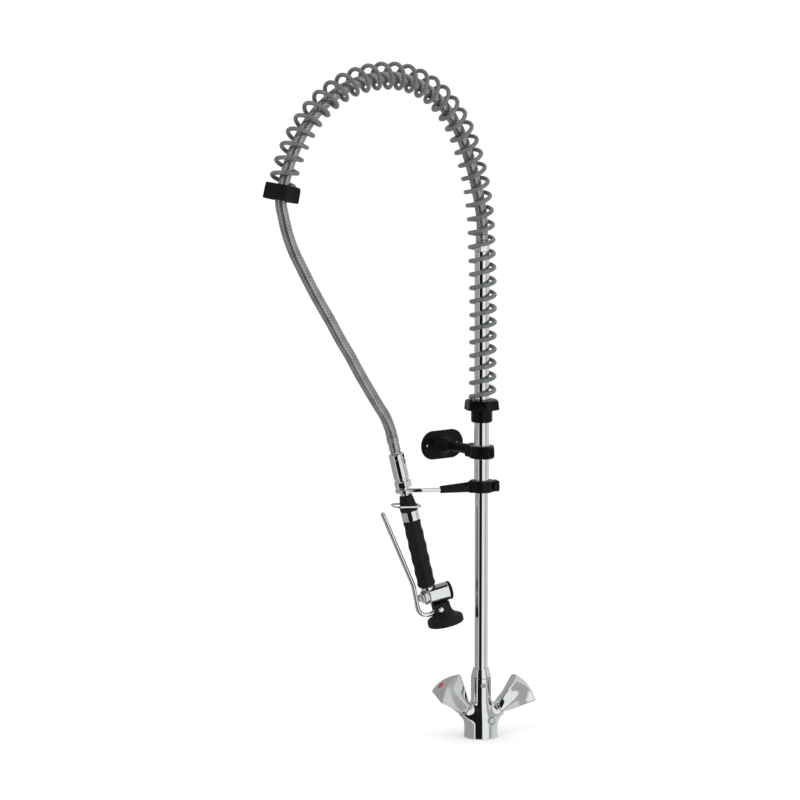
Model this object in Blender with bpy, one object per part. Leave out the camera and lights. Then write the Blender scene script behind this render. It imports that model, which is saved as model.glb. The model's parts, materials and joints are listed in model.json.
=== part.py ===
"""Deck-mounted pre-rinse faucet: a two-handle mixer, a riser with a spring-carried
hose, a wall bracket, a hook and a squeeze-lever sprayer.

Every size below is in millimetres, and MM turns it into metres. The origin is the
middle of the mixer's underside. X runs from the hot knob to the cold knob, -Y is the
user's side and Z is up. Turned pieces are drawn as (radius, height) outlines.
"""
import math

import bmesh
import bpy
from mathutils import Matrix, Vector

MM = 0.001
GAP = 0.3
SMOOTH_ANGLE = math.radians(35)

# Sides of a turned piece
FINE = 20
ROUND = 14
SMALL = 10

# Mixer
BASE_R = 27
NECK_R = 16.5
NECK_TOP = 97
SPIGOT_BORE_R = 13
ARM_HEIGHT = 18
ARM_RISE = math.radians(45)
ARM_FORWARD = math.radians(9)
ARM_R = 13.2
ARM_END = 40.5
SET_SCREW_Z = 86
SET_SCREW_R = 3

# Knobs: lobed cones on the arm axes, heights measured along the arm
KNOB_NECK = 44
KNOB_TIP = 91
KNOB_NECK_R = 12.2
KNOB_LOBE_R = 35
KNOB_FLAT_R = 18.5
KNOB_RISE = 10
KNOB_DOME = KNOB_TIP + KNOB_RISE
KNOB_SIDES = 30
SPINDLE_TOP = 61.5
SPINDLE_R = 3.5
INDEX_R = 5

# Column
LOWER_R = 10.65
LOWER_BORE_R = 8.7
LOWER_TOP = 440
UPPER_R = 12
UPPER_BORE_R = 11
UPPER_BOTTOM = 412
UPPER_TOP = 793
CLAMP_BORE_R = UPPER_R + GAP

# Spring and hose
SPRING_R = 19.1
SPRING_WIRE_R = 3.4
RISER_PITCH = 22
ARCH_PITCH = 23
SPRING_STEPS = 8
SPRING_TURN = -0.14
SPRING_START = 557
SPRING_END_TRIM = 9
HOSE_R = 9.2
HOSE_STEP = 28
HOSE_LEAD = 12
HOSE_TOP_Z = 820
ARCH_TURN = math.radians(20)
COLLAR_BOTTOM = 516.5
SPRING_NUT_BOTTOM = 537
SPRING_NUT_TOP = 553
SPRING_NUT_SIDES = 6
END_COLLAR_SIDES = 5
COLLAR_STEPS = 30

# The spring's centre line above the straight stretch: (distance from riser, height)
ARCH_LINE = [
    (0.8, 800), (1.8, 830), (5, 862), (10, 893), (18, 925), (29, 958), (44, 992),
    (66, 1024), (94, 1051), (128, 1070), (165, 1080), (203, 1081), (240, 1075),
    (274, 1062), (304, 1043), (330, 1018), (351, 989), (367, 957), (378, 925),
    (385, 895),
]
# The hose inside the arch, in the same plane
HOSE_ARCH = [
    (0, 834), (1, 848), (4, 866), (11, 896), (20, 927), (31.5, 958), (46.5, 990.5),
    (68.5, 1021.5), (96, 1048), (128.5, 1067), (165, 1077.5), (203, 1078.5),
    (239.5, 1072.5), (272.5, 1060), (302, 1041), (328, 1016.5), (348.5, 987.5),
    (364.5, 956), (375.5, 924.5), (382, 895),
]
# The hose hanging free from the arch to the sprayer: (x, y, z)
HOSE_FREE = [
    (-354, -127, 868), (-347, -123, 842), (-336, -117, 814), (-321, -108, 786),
    (-305, -99, 757), (-287, -89, 727), (-268, -78, 697), (-250, -67, 667),
    (-231, -55, 638), (-213, -43, 608), (-194, -29.5, 579), (-175, -14.5, 551),
    (-164.6, -7.2, 536.5), (-157.8, -2.8, 524),
]

# Wall bracket
BRACKET_BOTTOM = 458
BRACKET_TOP = 478
BUSH_R = 14.4
BRACKET_RING_R = 20.3
BRACKET_TURN = math.radians(24)
PLATE_DISTANCE = 105
PLATE_HALF_LENGTH = 42.5
PLATE_HALF_HEIGHT = 23.5
PLATE_THICKNESS = 5
PLATE_HOLE_OFFSET = 31

# Hook
HOOK_BOTTOM = 402.5
HOOK_TOP = 421.5
HOOK_RING_R = 19.5
HOOK_ROD_R = 3.25
HOOK_ROD_Z = 408.5
HOOK_LOOP_X = -128
HOOK_LOOP_R = 12.4
HOOK_ARM_END = -69

# Sprayer: t runs down its axis from the hook's loop, a points away from the riser
SPRAYER_ORIGIN = (-128.3, 0, 410)
SPRAYER_LEAN = math.radians(13.3)
HOSE_END_T = -90
NUT_TOP_T = -65.7
SLEEVE_TOP_T = -61.7
SLEEVE_HEX_T = -16
SLEEVE_BOTTOM_T = -5.5
SLEEVE_R = 12.5
SLEEVE_HEX_R = 14
TAIL_NECK_R = 7.5
HANDLE_TUBE_R = 9
CONE_TOP_T = 8.3
BAND_TOP_T = 34
GRIP_TOP_T = 51
GRIP_END_T = 163.4
GRIP_R = 14.3
GRIP_WAVE = 0.5
GRIP_WAVES = 5
VALVE_T = 179
VALVE_R = 15
HEAD_A = -17
HEAD_TOP_T = 194.5
HEAD_END_T = 232
HEAD_RIM_R = 29.5
PIVOT_A = -11
PIVOT_T = 204
PIVOT_R = 3.4
LEVER_R = 3.7
RING_T = 30.4
RING_A = -18
RING_REACH = 43.9
RING_TILT = math.radians(14.5)
RING_WIRE_R = 1.5

CHROME = ((0.80, 0.82, 0.83), 0.12, 1.0)
SATIN = ((0.62, 0.61, 0.58), 0.35, 1.0)
BLACK_STEEL = ((0.020, 0.020, 0.022), 0.40, 0.6)
BRASS = ((0.72, 0.55, 0.28), 0.30, 1.0)
BLACK_PLASTIC = ((0.030, 0.031, 0.033), 0.45, 0.0)
BLACK_RUBBER = ((0.045, 0.046, 0.048), 0.70, 0.0)
GREY_COAT = ((0.50, 0.51, 0.53), 0.40, 0.0)
GREY_BRAID = ((0.42, 0.43, 0.45), 0.55, 0.0)
RED = ((0.65, 0.02, 0.06), 0.35, 0.0)
BLUE = ((0.05, 0.12, 0.50), 0.35, 0.0)


def clear_scene():
    for item in list(bpy.data.objects):
        bpy.data.objects.remove(item, do_unlink=True)


def make_material(name, look):
    color, roughness, metallic = look
    material = bpy.data.materials.new(name)
    material.use_nodes = True
    shader = material.node_tree.nodes["Principled BSDF"]
    shader.inputs["Base Color"].default_value = (*color, 1)
    shader.inputs["Roughness"].default_value = roughness
    shader.inputs["Metallic"].default_value = metallic
    return material


def frame(name, origin, z_axis, x_axis, parent=None):
    """An empty with its Z along z_axis and its X near x_axis, in its parent's frame."""
    z = Vector(z_axis).normalized()
    y = z.cross(Vector(x_axis)).normalized()
    x = y.cross(z)
    turn = Matrix((x, y, z)).transposed().to_4x4()
    empty = bpy.data.objects.new(name, None)
    bpy.context.collection.objects.link(empty)
    empty.parent = parent
    empty.matrix_local = Matrix.Translation(Vector(origin) * MM) @ turn
    return empty


def add(name, shape, look, parent=None):
    """Turn a bmesh drawn in millimetres into a smooth-shaded object in metres."""
    bmesh.ops.scale(shape, vec=(MM, MM, MM), verts=shape.verts)
    bmesh.ops.recalc_face_normals(shape, faces=shape.faces)
    mesh = bpy.data.meshes.new(name)
    shape.to_mesh(mesh)
    shape.free()
    mesh.shade_smooth()
    mesh.set_sharp_from_angle(angle=SMOOTH_ANGLE)
    mesh.materials.append(make_material(name, look))
    item = bpy.data.objects.new(name, mesh)
    bpy.context.collection.objects.link(item)
    item.parent = parent
    return item


def combine(target, shape, operation, parent=None):
    """Cut a second shape from the target, or join it on."""
    tool = add(f"{target.name}_{operation.lower()}", shape, SATIN, parent)
    tool.hide_render = True
    tool.display_type = "WIRE"
    modifier = target.modifiers.new(tool.name, "BOOLEAN")
    modifier.operation = operation
    modifier.solver = "EXACT"
    modifier.object = tool


def join(target, shape, parent=None):
    combine(target, shape, "UNION", parent)


def cut(target, shape, parent=None):
    combine(target, shape, "DIFFERENCE", parent)


def skin_rings(shape, rings, closed_rings, caps=True):
    """Bridge equal rings of vertices, then close the ends or join last to first."""
    pairs = list(zip(rings, rings[1:]))
    if closed_rings:
        pairs.append((rings[-1], rings[0]))
    count = len(rings[0])
    for low, high in pairs:
        for k in range(count):
            n = (k + 1) % count
            shape.faces.new((low[k], low[n], high[n], high[k]))
    if caps and not closed_rings:
        shape.faces.new(rings[0])
        shape.faces.new(rings[-1])


def turned(outline, segments=ROUND, ring=False, radius_at=None, start=0.0):
    """Turn an outline of (radius, height) points about Z.

    ring=True closes the outline on itself, for a piece with a hole. radius_at, where
    it is given, changes each outer radius with the angle.
    """
    shape = bmesh.new()
    rings = []
    for index, (radius, height) in enumerate(outline):
        row = []
        for k in range(segments):
            angle = start + 2 * math.pi * k / segments
            reach = radius_at(index, radius, angle) if radius_at else radius
            point = (reach * math.cos(angle), reach * math.sin(angle), height)
            row.append(shape.verts.new(point))
        rings.append(row)
    skin_rings(shape, rings, ring)
    return shape


def drum(radius, low, high, segments=ROUND, start=0.0):
    return turned([(radius, low), (radius, high)], segments, start=start)


def sleeve(bore, outline, segments=ROUND, start=0.0):
    """A turned piece with a straight round bore through it."""
    low, high = outline[0][1], outline[-1][1]
    return turned([(bore, low), *outline, (bore, high)], segments, True, start=start)


def down(outline):
    """Turn (radius, t) points, with t running down, into heights."""
    return [(radius, -t) for radius, t in reversed(outline)]


def prism(outline, low, high):
    """Extrude a flat (x, y) outline along Z."""
    shape = bmesh.new()
    rings = [[shape.verts.new((x, y, z)) for x, y in outline] for z in (low, high)]
    skin_rings(shape, rings, False)
    return shape


def box(low, high):
    (x0, y0, z0), (x1, y1, z1) = low, high
    return prism([(x0, y0), (x1, y0), (x1, y1), (x0, y1)], z0, z1)


def placed(shape, origin, z_axis, x_axis=(1, 0, 0)):
    """Move a shape so that its Z runs along z_axis from origin."""
    z = Vector(z_axis).normalized()
    y = z.cross(Vector(x_axis)).normalized()
    turn = Matrix((y.cross(z), y, z)).transposed().to_4x4()
    matrix = Matrix.Translation(Vector(origin)) @ turn
    bmesh.ops.transform(shape, matrix=matrix, verts=shape.verts)
    return shape


def swept(path, radius, sides=10, loop=False, end_radius=None):
    """A round bar along a path, of one radius or tapering to end_radius."""
    points = [Vector(point) for point in path]
    count = len(points)
    shape = bmesh.new()
    rings = []
    side = None
    for k, point in enumerate(points):
        before = points[k - 1] if loop or k else point
        after = points[(k + 1) % count] if loop or k < count - 1 else point
        along = (after - before).normalized()
        if side is None:
            side = along.orthogonal()
        side = (side - along * side.dot(along)).normalized()
        other = along.cross(side)
        share = k / (count - 1)
        size = radius if end_radius is None else radius + (end_radius - radius) * share
        row = []
        for n in range(sides):
            angle = 2 * math.pi * n / sides
            offset = side * math.cos(angle) + other * math.sin(angle)
            row.append(shape.verts.new(point + offset * size))
        rings.append(row)
    skin_rings(shape, rings, loop)
    return shape


def smooth_line(points, step):
    """Points about one step apart on a smooth curve through the given points."""
    given = [Vector(point) for point in points]
    ends = [2 * given[0] - given[1], *given, 2 * given[-1] - given[-2]]
    fine = []
    pieces = 24
    for p0, p1, p2, p3 in zip(ends, ends[1:], ends[2:], ends[3:]):
        for k in range(pieces):
            u = k / pieces
            bend = (2 * p0 - 5 * p1 + 4 * p2 - p3) * u * u
            twist = (3 * p1 - p0 - 3 * p2 + p3) * u ** 3
            fine.append((2 * p1 + (p2 - p0) * u + bend + twist) / 2)
    fine.append(given[-1])
    lengths = [0.0]
    for a, b in zip(fine, fine[1:]):
        lengths.append(lengths[-1] + (b - a).length)
    count = max(2, round(lengths[-1] / step))
    line = []
    seek = 0
    for k in range(count + 1):
        goal = lengths[-1] * k / count
        while seek < len(lengths) - 2 and lengths[seek + 1] < goal:
            seek += 1
        share = (goal - lengths[seek]) / (lengths[seek + 1] - lengths[seek])
        line.append(fine[seek].lerp(fine[seek + 1], share))
    return line


def in_arch(reach, height):
    """A point of the arch's plane as (x, y, z)."""
    x = -reach * math.cos(ARCH_TURN)
    y = -reach * math.sin(ARCH_TURN)
    return Vector((x, y, height))


def sprayer_point(a, t):
    """A point in the sprayer's own frame, which leans in the XZ plane, as (x, y, z)."""
    lean, rise = math.sin(SPRAYER_LEAN), math.cos(SPRAYER_LEAN)
    x0, y0, z0 = SPRAYER_ORIGIN
    return Vector((x0 - rise * a + lean * t, y0, z0 - lean * a - rise * t))


def wire(name, line, radius, resolution, look):
    """A curve object with a round bevel, filled at both ends."""
    curve = bpy.data.curves.new(name, "CURVE")
    curve.dimensions = "3D"
    curve.bevel_depth = radius * MM
    curve.bevel_resolution = resolution
    curve.use_fill_caps = True
    curve.render_resolution_u = 0
    spline = curve.splines.new("POLY")
    spline.points.add(len(line) - 1)
    for point, place in zip(spline.points, line):
        point.co = (*(place * MM), 1)
    curve.materials.append(make_material(name, look))
    item = bpy.data.objects.new(name, curve)
    bpy.context.collection.objects.link(item)
    return item


def make_mixer():
    body_outline = [
        (BASE_R, 0), (BASE_R, 24), (26.2, 31), (24, 38), (20.5, 46), (17.6, 55),
        (NECK_R, 62), (NECK_R, NECK_TOP),
    ]
    body = add("mixer_body", turned(body_outline, FINE), CHROME)
    for side in (-1, 1):
        join(body, placed(drum(ARM_R, 0, ARM_END, FINE), (0, 0, ARM_HEIGHT), arm_axis(side)))
    for side in (-1, 1):
        bore = drum(9, 20, ARM_END + 2, ROUND)
        cut(body, placed(bore, (0, 0, ARM_HEIGHT), arm_axis(side)))
    cut(body, drum(SPIGOT_BORE_R, 63, NECK_TOP + 5, FINE))
    cut(body, turned([(20, -1), (24, -1), (24, 3), (20, 3)], FINE, True))
    for x in (-11, 11):
        cut(body, placed(drum(5, -1, 14, SMALL), (x, 0, 0), (0, 0, 1)))
    cut(body, placed(drum(3.2, -1, 12, SMALL), (0, 12, 0), (0, 0, 1)))
    hole = drum(SET_SCREW_R + GAP, 10, NECK_R + 3, SMALL)
    cut(body, placed(hole, (0, 0, SET_SCREW_Z), (0, -1, 0)))
    seal = turned([(20.4, 0), (23.6, 0), (23.6, 2.6), (20.4, 2.6)], FINE, True)
    add("base_seal", seal, BLACK_RUBBER)
    nut = sleeve(LOWER_R + 0.6, [(16.3, 97.3), (16.3, 98.6), (13, 113)], FINE)
    add("column_nut", nut, CHROME)
    screw = drum(SET_SCREW_R, 13.4, NECK_R + 0.6, SMALL)
    add("neck_set_screw", placed(screw, (0, 0, SET_SCREW_Z), (0, -1, 0)), SATIN)
    make_chain_eye()


def make_chain_eye():
    """A wire eye for a plug chain, on a stem in the front of the mixer."""
    out = Vector((0.34, -0.94, 0)).normalized()
    middle = out * 32.5 + Vector((0, 0, 31))
    across = (out + Vector((0.9, 0.3, 0))).normalized()
    ring_path = []
    for k in range(16):
        angle = 2 * math.pi * k / 16
        ring_path.append(middle + across * 4.6 * math.cos(angle) + Vector((0, 0, 5.6 * math.sin(angle))))
    eye = add("chain_eye", swept(ring_path, 1.3, 6, True), CHROME)
    join(eye, swept([out * 28.2 + Vector((0, 0, 31)), middle - across * 4.6], 1.7, 8))


def arm_axis(side):
    """The direction of the hot (-1) or cold (1) arm."""
    level = math.cos(ARM_RISE)
    x = side * level * math.cos(ARM_FORWARD)
    return Vector((x, -level * math.sin(ARM_FORWARD), math.sin(ARM_RISE)))


def knob_rim(angle, lobe_angle):
    """The radius of the knob's three-sided rim, between a lobe's and a flat's."""
    step = 2 * math.pi / 3
    off = abs((angle - lobe_angle + step / 2) % step - step / 2)
    return min(KNOB_LOBE_R, KNOB_FLAT_R / math.cos(step / 2 - off))


def dome_height(radius):
    return KNOB_TIP + KNOB_RISE * (1 - (radius / KNOB_LOBE_R) ** 2)


def knob_shape(lobe_angle):
    """A round neck that grows into three lobes and flats under a domed end, bored through."""
    shape = bmesh.new()
    bore = [
        (INDEX_R + GAP, dome_height(INDEX_R + GAP)), (INDEX_R + GAP, KNOB_DOME - 4.5),
        (4.2, KNOB_DOME - 4.5), (4.2, KNOB_TIP - 2), (2.4, KNOB_TIP - 2),
        (2.4, SPINDLE_TOP + 0.5), (SPINDLE_R + GAP, SPINDLE_TOP + 0.5),
        (SPINDLE_R + GAP, KNOB_NECK),
    ]
    sides = [k / 5 for k in range(6)]
    dome = [0.8, 0.55, 0.3]
    rings = [[] for _ in range(len(sides) + len(dome) + len(bore))]
    for k in range(KNOB_SIDES):
        angle = 2 * math.pi * k / KNOB_SIDES
        rim = knob_rim(angle, lobe_angle)
        column = []
        for share in sides:
            radius = KNOB_NECK_R + (rim - KNOB_NECK_R) * share ** 0.9
            column.append((radius, KNOB_NECK + (dome_height(rim) - KNOB_NECK) * share))
        for share in dome:
            radius = INDEX_R + (rim - INDEX_R) * share
            column.append((radius, dome_height(radius)))
        for ring, (radius, height) in zip(rings, column + bore):
            ring.append(shape.verts.new((radius * math.cos(angle), radius * math.sin(angle), height)))
    skin_rings(shape, rings, True)
    return shape


def make_handle(side, name, lobe_angle, index_look):
    """A headwork in the mixer's arm and the spindle, knob, screw and index on it."""
    axis = arm_axis(side)
    up = Vector((0, 0, 1))
    spot = frame(f"{name}_arm", (0, 0, ARM_HEIGHT), axis, up)
    flange = ARM_END + GAP
    headwork = [(8.6, 24), (8.6, flange), (11.6, flange), (11.6, KNOB_NECK - 0.4)]
    add(f"{name}_headwork", sleeve(SPINDLE_R + GAP, headwork, ROUND), CHROME, spot)
    add(f"{name}_spindle", drum(SPINDLE_R, 23.6, SPINDLE_TOP, ROUND), BRASS, spot)
    add(f"{name}_seat_washer", drum(6.5, 20.8, 23.2, ROUND), BLACK_RUBBER, spot)
    add(f"{name}_knob", knob_shape(lobe_angle), CHROME, spot)
    screw = [
        (2, SPINDLE_TOP + 0.5), (2, KNOB_TIP - 1.6), (3.8, KNOB_TIP - 1.6), (3.8, KNOB_TIP + 2),
    ]
    add(f"{name}_knob_screw", turned(screw, SMALL), SATIN, spot)
    index = [(INDEX_R, KNOB_DOME - 4), (INDEX_R, KNOB_DOME - 1.4), (INDEX_R * 0.7, KNOB_DOME - 0.4)]
    add(f"{name}_index", turned(index, ROUND), index_look, spot)


def make_column():
    spigot_outline = [
        (12.4, 65), (12.4, 69), (10.7, 69), (10.7, 72), (12.4, 72), (12.4, 82),
        (11.2, 82), (11.2, 90), (12.4, 90), (12.4, 94), (8.3, 94.2), (8.3, 112),
    ]
    add("riser_spigot", sleeve(5, spigot_outline, FINE), SATIN)
    seal_path = []
    for k in range(ROUND):
        angle = 2 * math.pi * k / ROUND
        seal_path.append((11.75 * math.cos(angle), 11.75 * math.sin(angle), 70.5))
    add("spigot_o_ring", swept(seal_path, 0.8, 5, True), BLACK_RUBBER)
    lower = sleeve(LOWER_BORE_R, [(LOWER_R, 94.5), (LOWER_R, LOWER_TOP)], FINE)
    add("riser_lower", lower, CHROME)
    upper = sleeve(UPPER_BORE_R, [(UPPER_R, UPPER_BOTTOM), (UPPER_R, UPPER_TOP)], FINE)
    add("riser_upper", upper, CHROME)
    nut = turned([(10.6, 780), (10.6, 793.3), (13.2, 793.3), (13.2, 806)], 6)
    top_nut = add("hose_top_nut", nut, CHROME)
    cut(top_nut, drum(5, 770, 810, SMALL))
    crimp = [(10, 806.3), (10, 808), (10.6, 809.5), (10, 811), (10.6, 813), (10, 815), (10.4, 820)]
    add("hose_top_ferrule", sleeve(5, crimp, ROUND), SATIN)


def flat_sided(sides, corner, flat):
    """The reach of an outline with flats, whose own radius blunts the corners."""
    def reach(radius, angle):
        step = 2 * math.pi / sides
        off = (angle - corner + step / 2) % step - step / 2
        return min(radius, flat / math.cos(step / 2 - abs(off)))
    return reach


def lobed_nut(bore_outline, outline, sides, corner, flat):
    """A nut with flats, whose bore stays round."""
    reach = flat_sided(sides, corner, flat)
    count = len(outline)

    def radius_at(index, radius, angle):
        return reach(radius, angle) if index < count else radius

    return turned(outline + bore_outline, COLLAR_STEPS, True, radius_at)


def make_spring_seat():
    collar = [(15.6, COLLAR_BOTTOM), (17.3, COLLAR_BOTTOM + 2), (17.3, SPRING_NUT_BOTTOM - 0.4)]
    ring = add("spring_collar", sleeve(CLAMP_BORE_R, collar, FINE), BLACK_PLASTIC)
    hole = placed(drum(2.6, 10, 20, SMALL), (0, 0, 527), (0.6, 0.8, 0))
    cut(ring, hole)
    screw = placed(drum(2.3, 12.6, 16.6, SMALL), (0, 0, 527), (0.6, 0.8, 0))
    add("collar_set_screw", screw, SATIN)
    outline = [
        (27.8, SPRING_NUT_BOTTOM), (28.8, SPRING_NUT_BOTTOM + 1.5), (28.2, SPRING_NUT_TOP - 3),
        (26, SPRING_NUT_TOP),
    ]
    bore = [(CLAMP_BORE_R, SPRING_NUT_TOP), (CLAMP_BORE_R, SPRING_NUT_BOTTOM)]
    nut = lobed_nut(bore, outline, SPRING_NUT_SIDES, math.radians(-90), 25)
    add("spring_nut", nut, BLACK_PLASTIC)


def spring_centre_line():
    """The spring leans a little off the riser, which it doesn't touch."""
    straight = [(1.2, 0, SPRING_START), (1.6, 0, 620), (1.8, 0, 690), (1.1, 0, 750)]
    arch = [in_arch(reach, height) for reach, height in ARCH_LINE]
    return smooth_line(straight + arch, 2.0)


def make_spring():
    """A right-handed coil whose turns follow the riser and then the arch."""
    line = spring_centre_line()
    lengths = [0.0]
    for a, b in zip(line, line[1:]):
        lengths.append(lengths[-1] + (b - a).length)
    total = lengths[-1] - SPRING_END_TRIM
    upright = UPPER_TOP - SPRING_START
    turns_below = upright / RISER_PITCH
    turns = turns_below + (total - upright) / ARCH_PITCH
    binormal = in_arch(1, 0).normalized().cross(Vector((0, 0, 1)))
    count = round(turns * SPRING_STEPS)
    coil = []
    seek = 0
    for k in range(count + 1):
        turn = turns * k / count
        goal = min(turn, turns_below) * RISER_PITCH + max(0, turn - turns_below) * ARCH_PITCH
        while seek < len(lengths) - 2 and lengths[seek + 1] < goal:
            seek += 1
        here, after = line[seek], line[seek + 1]
        along = (after - here).normalized()
        share = (goal - lengths[seek]) / (lengths[seek + 1] - lengths[seek])
        normal = along.cross(binormal).normalized()
        angle = 2 * math.pi * (turn + SPRING_TURN)
        offset = normal * math.cos(angle) - binormal * math.sin(angle)
        coil.append(here.lerp(after, share) + offset * SPRING_R)
    wire("spring", coil, SPRING_WIRE_R, 0, GREY_COAT)


def make_end_collar():
    """The five-sided cup that holds the spring's free end and lets the hose through."""
    end = in_arch(*ARCH_LINE[-1])
    along = (in_arch(*ARCH_LINE[-2]) - end).normalized()
    spot = frame("spring_end", end, along, in_arch(1, 0))
    outline = [(28.5, 0), (30, 1.5), (29.4, 22), (28, 25)]
    bore = [(22.9, 25), (22.9, 5.6), (17, 5.6), (17, 3.4), (22.5, 3.4), (23.5, 0)]
    cup = lobed_nut(bore, outline, END_COLLAR_SIDES, math.radians(70), 24.6)
    add("end_collar", cup, BLACK_PLASTIC, spot)


def make_hose():
    """Both ends run straight for HOSE_LEAD, square to the fittings they meet."""
    route = [in_arch(reach, height) for reach, height in HOSE_ARCH]
    route += [Vector(point) for point in HOSE_FREE]
    route.append(sprayer_point(0, HOSE_END_T - HOSE_LEAD))
    line = smooth_line(route, HOSE_STEP)
    line.insert(0, Vector((0, 0, HOSE_TOP_Z + GAP)))
    line.append(sprayer_point(0, HOSE_END_T - GAP))
    wire("hose", line, HOSE_R, 2, GREY_BRAID)


def make_bracket():
    bush = sleeve(CLAMP_BORE_R, [(BUSH_R, BRACKET_BOTTOM - 1), (BUSH_R, BRACKET_TOP + 1)], FINE)
    add("bracket_bush", bush, SATIN)
    out = Vector((-math.sin(BRACKET_TURN), math.cos(BRACKET_TURN), 0))
    spot = frame("bracket_frame", (0, 0, (BRACKET_BOTTOM + BRACKET_TOP) / 2), (0, 0, 1), out)
    half = (BRACKET_TOP - BRACKET_BOTTOM) / 2
    ring = sleeve(BUSH_R + GAP, [(BRACKET_RING_R, -half), (BRACKET_RING_R, half)], FINE)
    bracket = add("wall_bracket", ring, BLACK_PLASTIC, spot)
    stadium = []
    straight = PLATE_HALF_LENGTH - PLATE_HALF_HEIGHT
    for k in range(32):
        angle = 2 * math.pi * (k + 0.5) / 32
        shift = straight if math.cos(angle) > 0 else -straight
        y = shift + PLATE_HALF_HEIGHT * math.cos(angle)
        stadium.append((y, PLATE_HALF_HEIGHT * math.sin(angle)))
    plate = prism(stadium, PLATE_DISTANCE - PLATE_THICKNESS, PLATE_DISTANCE)
    join(bracket, placed(plate, (0, 0, 0), (1, 0, 0), (0, 1, 0)), spot)
    arm = [(18, -7), (60, -5), (88, -8), (PLATE_DISTANCE - 3, -20), (PLATE_DISTANCE - 3, 20),
           (88, 8), (60, 5), (18, 7)]
    join(bracket, prism(arm, -5, 5), spot)
    web = [(18, -half), (60, -8), (PLATE_DISTANCE - 3, -16), (PLATE_DISTANCE - 3, 16),
           (60, 8), (18, half)]
    join(bracket, placed(prism(web, -3, 3), (0, 0, 0), (0, -1, 0)), spot)
    ear = box((-25, -8, -half + 1.5), (-18, 8, half - 1.5))
    join(bracket, ear, spot)
    join(bracket, box((16.5, -12.5, -half), (29, 12.5, half)), spot)
    for y in (-PLATE_HOLE_OFFSET, PLATE_HOLE_OFFSET):
        hole = drum(2.4, PLATE_DISTANCE - 12, PLATE_DISTANCE + 5, SMALL)
        cut(bracket, placed(hole, (0, y, 0), (1, 0, 0), (0, 1, 0)), spot)
    cut(bracket, placed(drum(2.8, 13, 32, SMALL), (0, 0, 0), (-1, 0, 0), (0, 1, 0)), spot)
    screw = placed(drum(2.5, BUSH_R + 0.5, 25.5, SMALL), (0, 0, 0), (-1, 0, 0), (0, 1, 0))
    add("bracket_screw", screw, BLACK_STEEL, spot)


def make_hook():
    middle = (HOOK_BOTTOM + HOOK_TOP) / 2
    ring = sleeve(CLAMP_BORE_R, [(HOOK_RING_R, HOOK_BOTTOM), (HOOK_RING_R, HOOK_TOP)], FINE)
    clamp = add("hook_clamp", ring, BLACK_PLASTIC)
    root = (-15.5, 0, middle - 0.5)
    arm = swept([root, (HOOK_ARM_END, 0, HOOK_ROD_Z + 0.8)], 8.6, 16, False, 5.9)
    join(clamp, arm)
    join(clamp, box((14, -9.5, HOOK_BOTTOM + 1), (27.5, 9.5, HOOK_TOP - 1)))
    cut(clamp, box((10, -1.5, HOOK_BOTTOM - 3), (30, 1.5, HOOK_TOP + 3)))
    cut(clamp, placed(drum(3.3, -12, 12, SMALL), (22, 0, middle), (0, 1, 0)))
    rod_bore = drum(HOOK_ROD_R + GAP, 0, 20, SMALL)
    cut(clamp, placed(rod_bore, (HOOK_ARM_END + 14, 0, HOOK_ROD_Z), (-1, 0, 0), (0, 1, 0)))
    screw = turned([(3, -9), (3, 9.8), (5, 9.8), (5, 13)], SMALL)
    add("hook_clamp_screw", placed(screw, (22, 0, middle), (0, -1, 0)), BLACK_STEEL)
    loop_start = math.radians(35)
    loop_end = math.radians(310)
    rod_path = [(HOOK_ARM_END + 13.5, 0, HOOK_ROD_Z), (-90, 0.4, HOOK_ROD_Z), (-104, 2, HOOK_ROD_Z)]
    for k in range(15):
        angle = loop_start + (loop_end - loop_start) * k / 14
        x = HOOK_LOOP_X + HOOK_LOOP_R * math.cos(angle)
        rod_path.append((x, HOOK_LOOP_R * math.sin(angle), HOOK_ROD_Z))
    add("hook_rod", swept(rod_path, HOOK_ROD_R, 8), CHROME)


def sprayer_frame():
    lean, rise = math.sin(SPRAYER_LEAN), math.cos(SPRAYER_LEAN)
    return frame("sprayer_frame", SPRAYER_ORIGIN, (-lean, 0, rise), (-rise, 0, -lean))


def make_hose_end(spot):
    """The crimp, the nut and the swivel sleeve, which hang from the hook with the hose."""
    crimp = [(8.7, HOSE_END_T), (8.7, -86), (8.2, -85), (8.7, -84), (8.7, -68), (7.8, -66)]
    add("hose_ferrule", sleeve(4, down(crimp), ROUND), SATIN, spot)
    add("hose_end_nut", sleeve(4, down([(7.4, NUT_TOP_T), (7.4, -62)]), 6), SATIN, spot)
    outer = [
        (4.4, SLEEVE_TOP_T), (SLEEVE_R - 1, SLEEVE_TOP_T), (SLEEVE_R, SLEEVE_TOP_T + 1),
        (SLEEVE_R, SLEEVE_HEX_T), (SLEEVE_HEX_R, SLEEVE_HEX_T + 1),
        (SLEEVE_HEX_R, SLEEVE_BOTTOM_T), (8, SLEEVE_BOTTOM_T), (8, -8), (9.7, -8),
        (9.7, -57), (4.4, -57),
    ]

    def six_sided(index, radius, angle):
        if radius != SLEEVE_HEX_R:
            return radius
        off = angle % (math.pi / 3) - math.pi / 6
        return min(radius, radius * math.cos(math.pi / 6) / math.cos(math.pi / 6 - abs(off)) * 1.06)

    tube = turned([(radius, -t) for radius, t in outer], FINE, True, six_sided)
    add("swivel_sleeve", tube, CHROME, spot)


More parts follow.
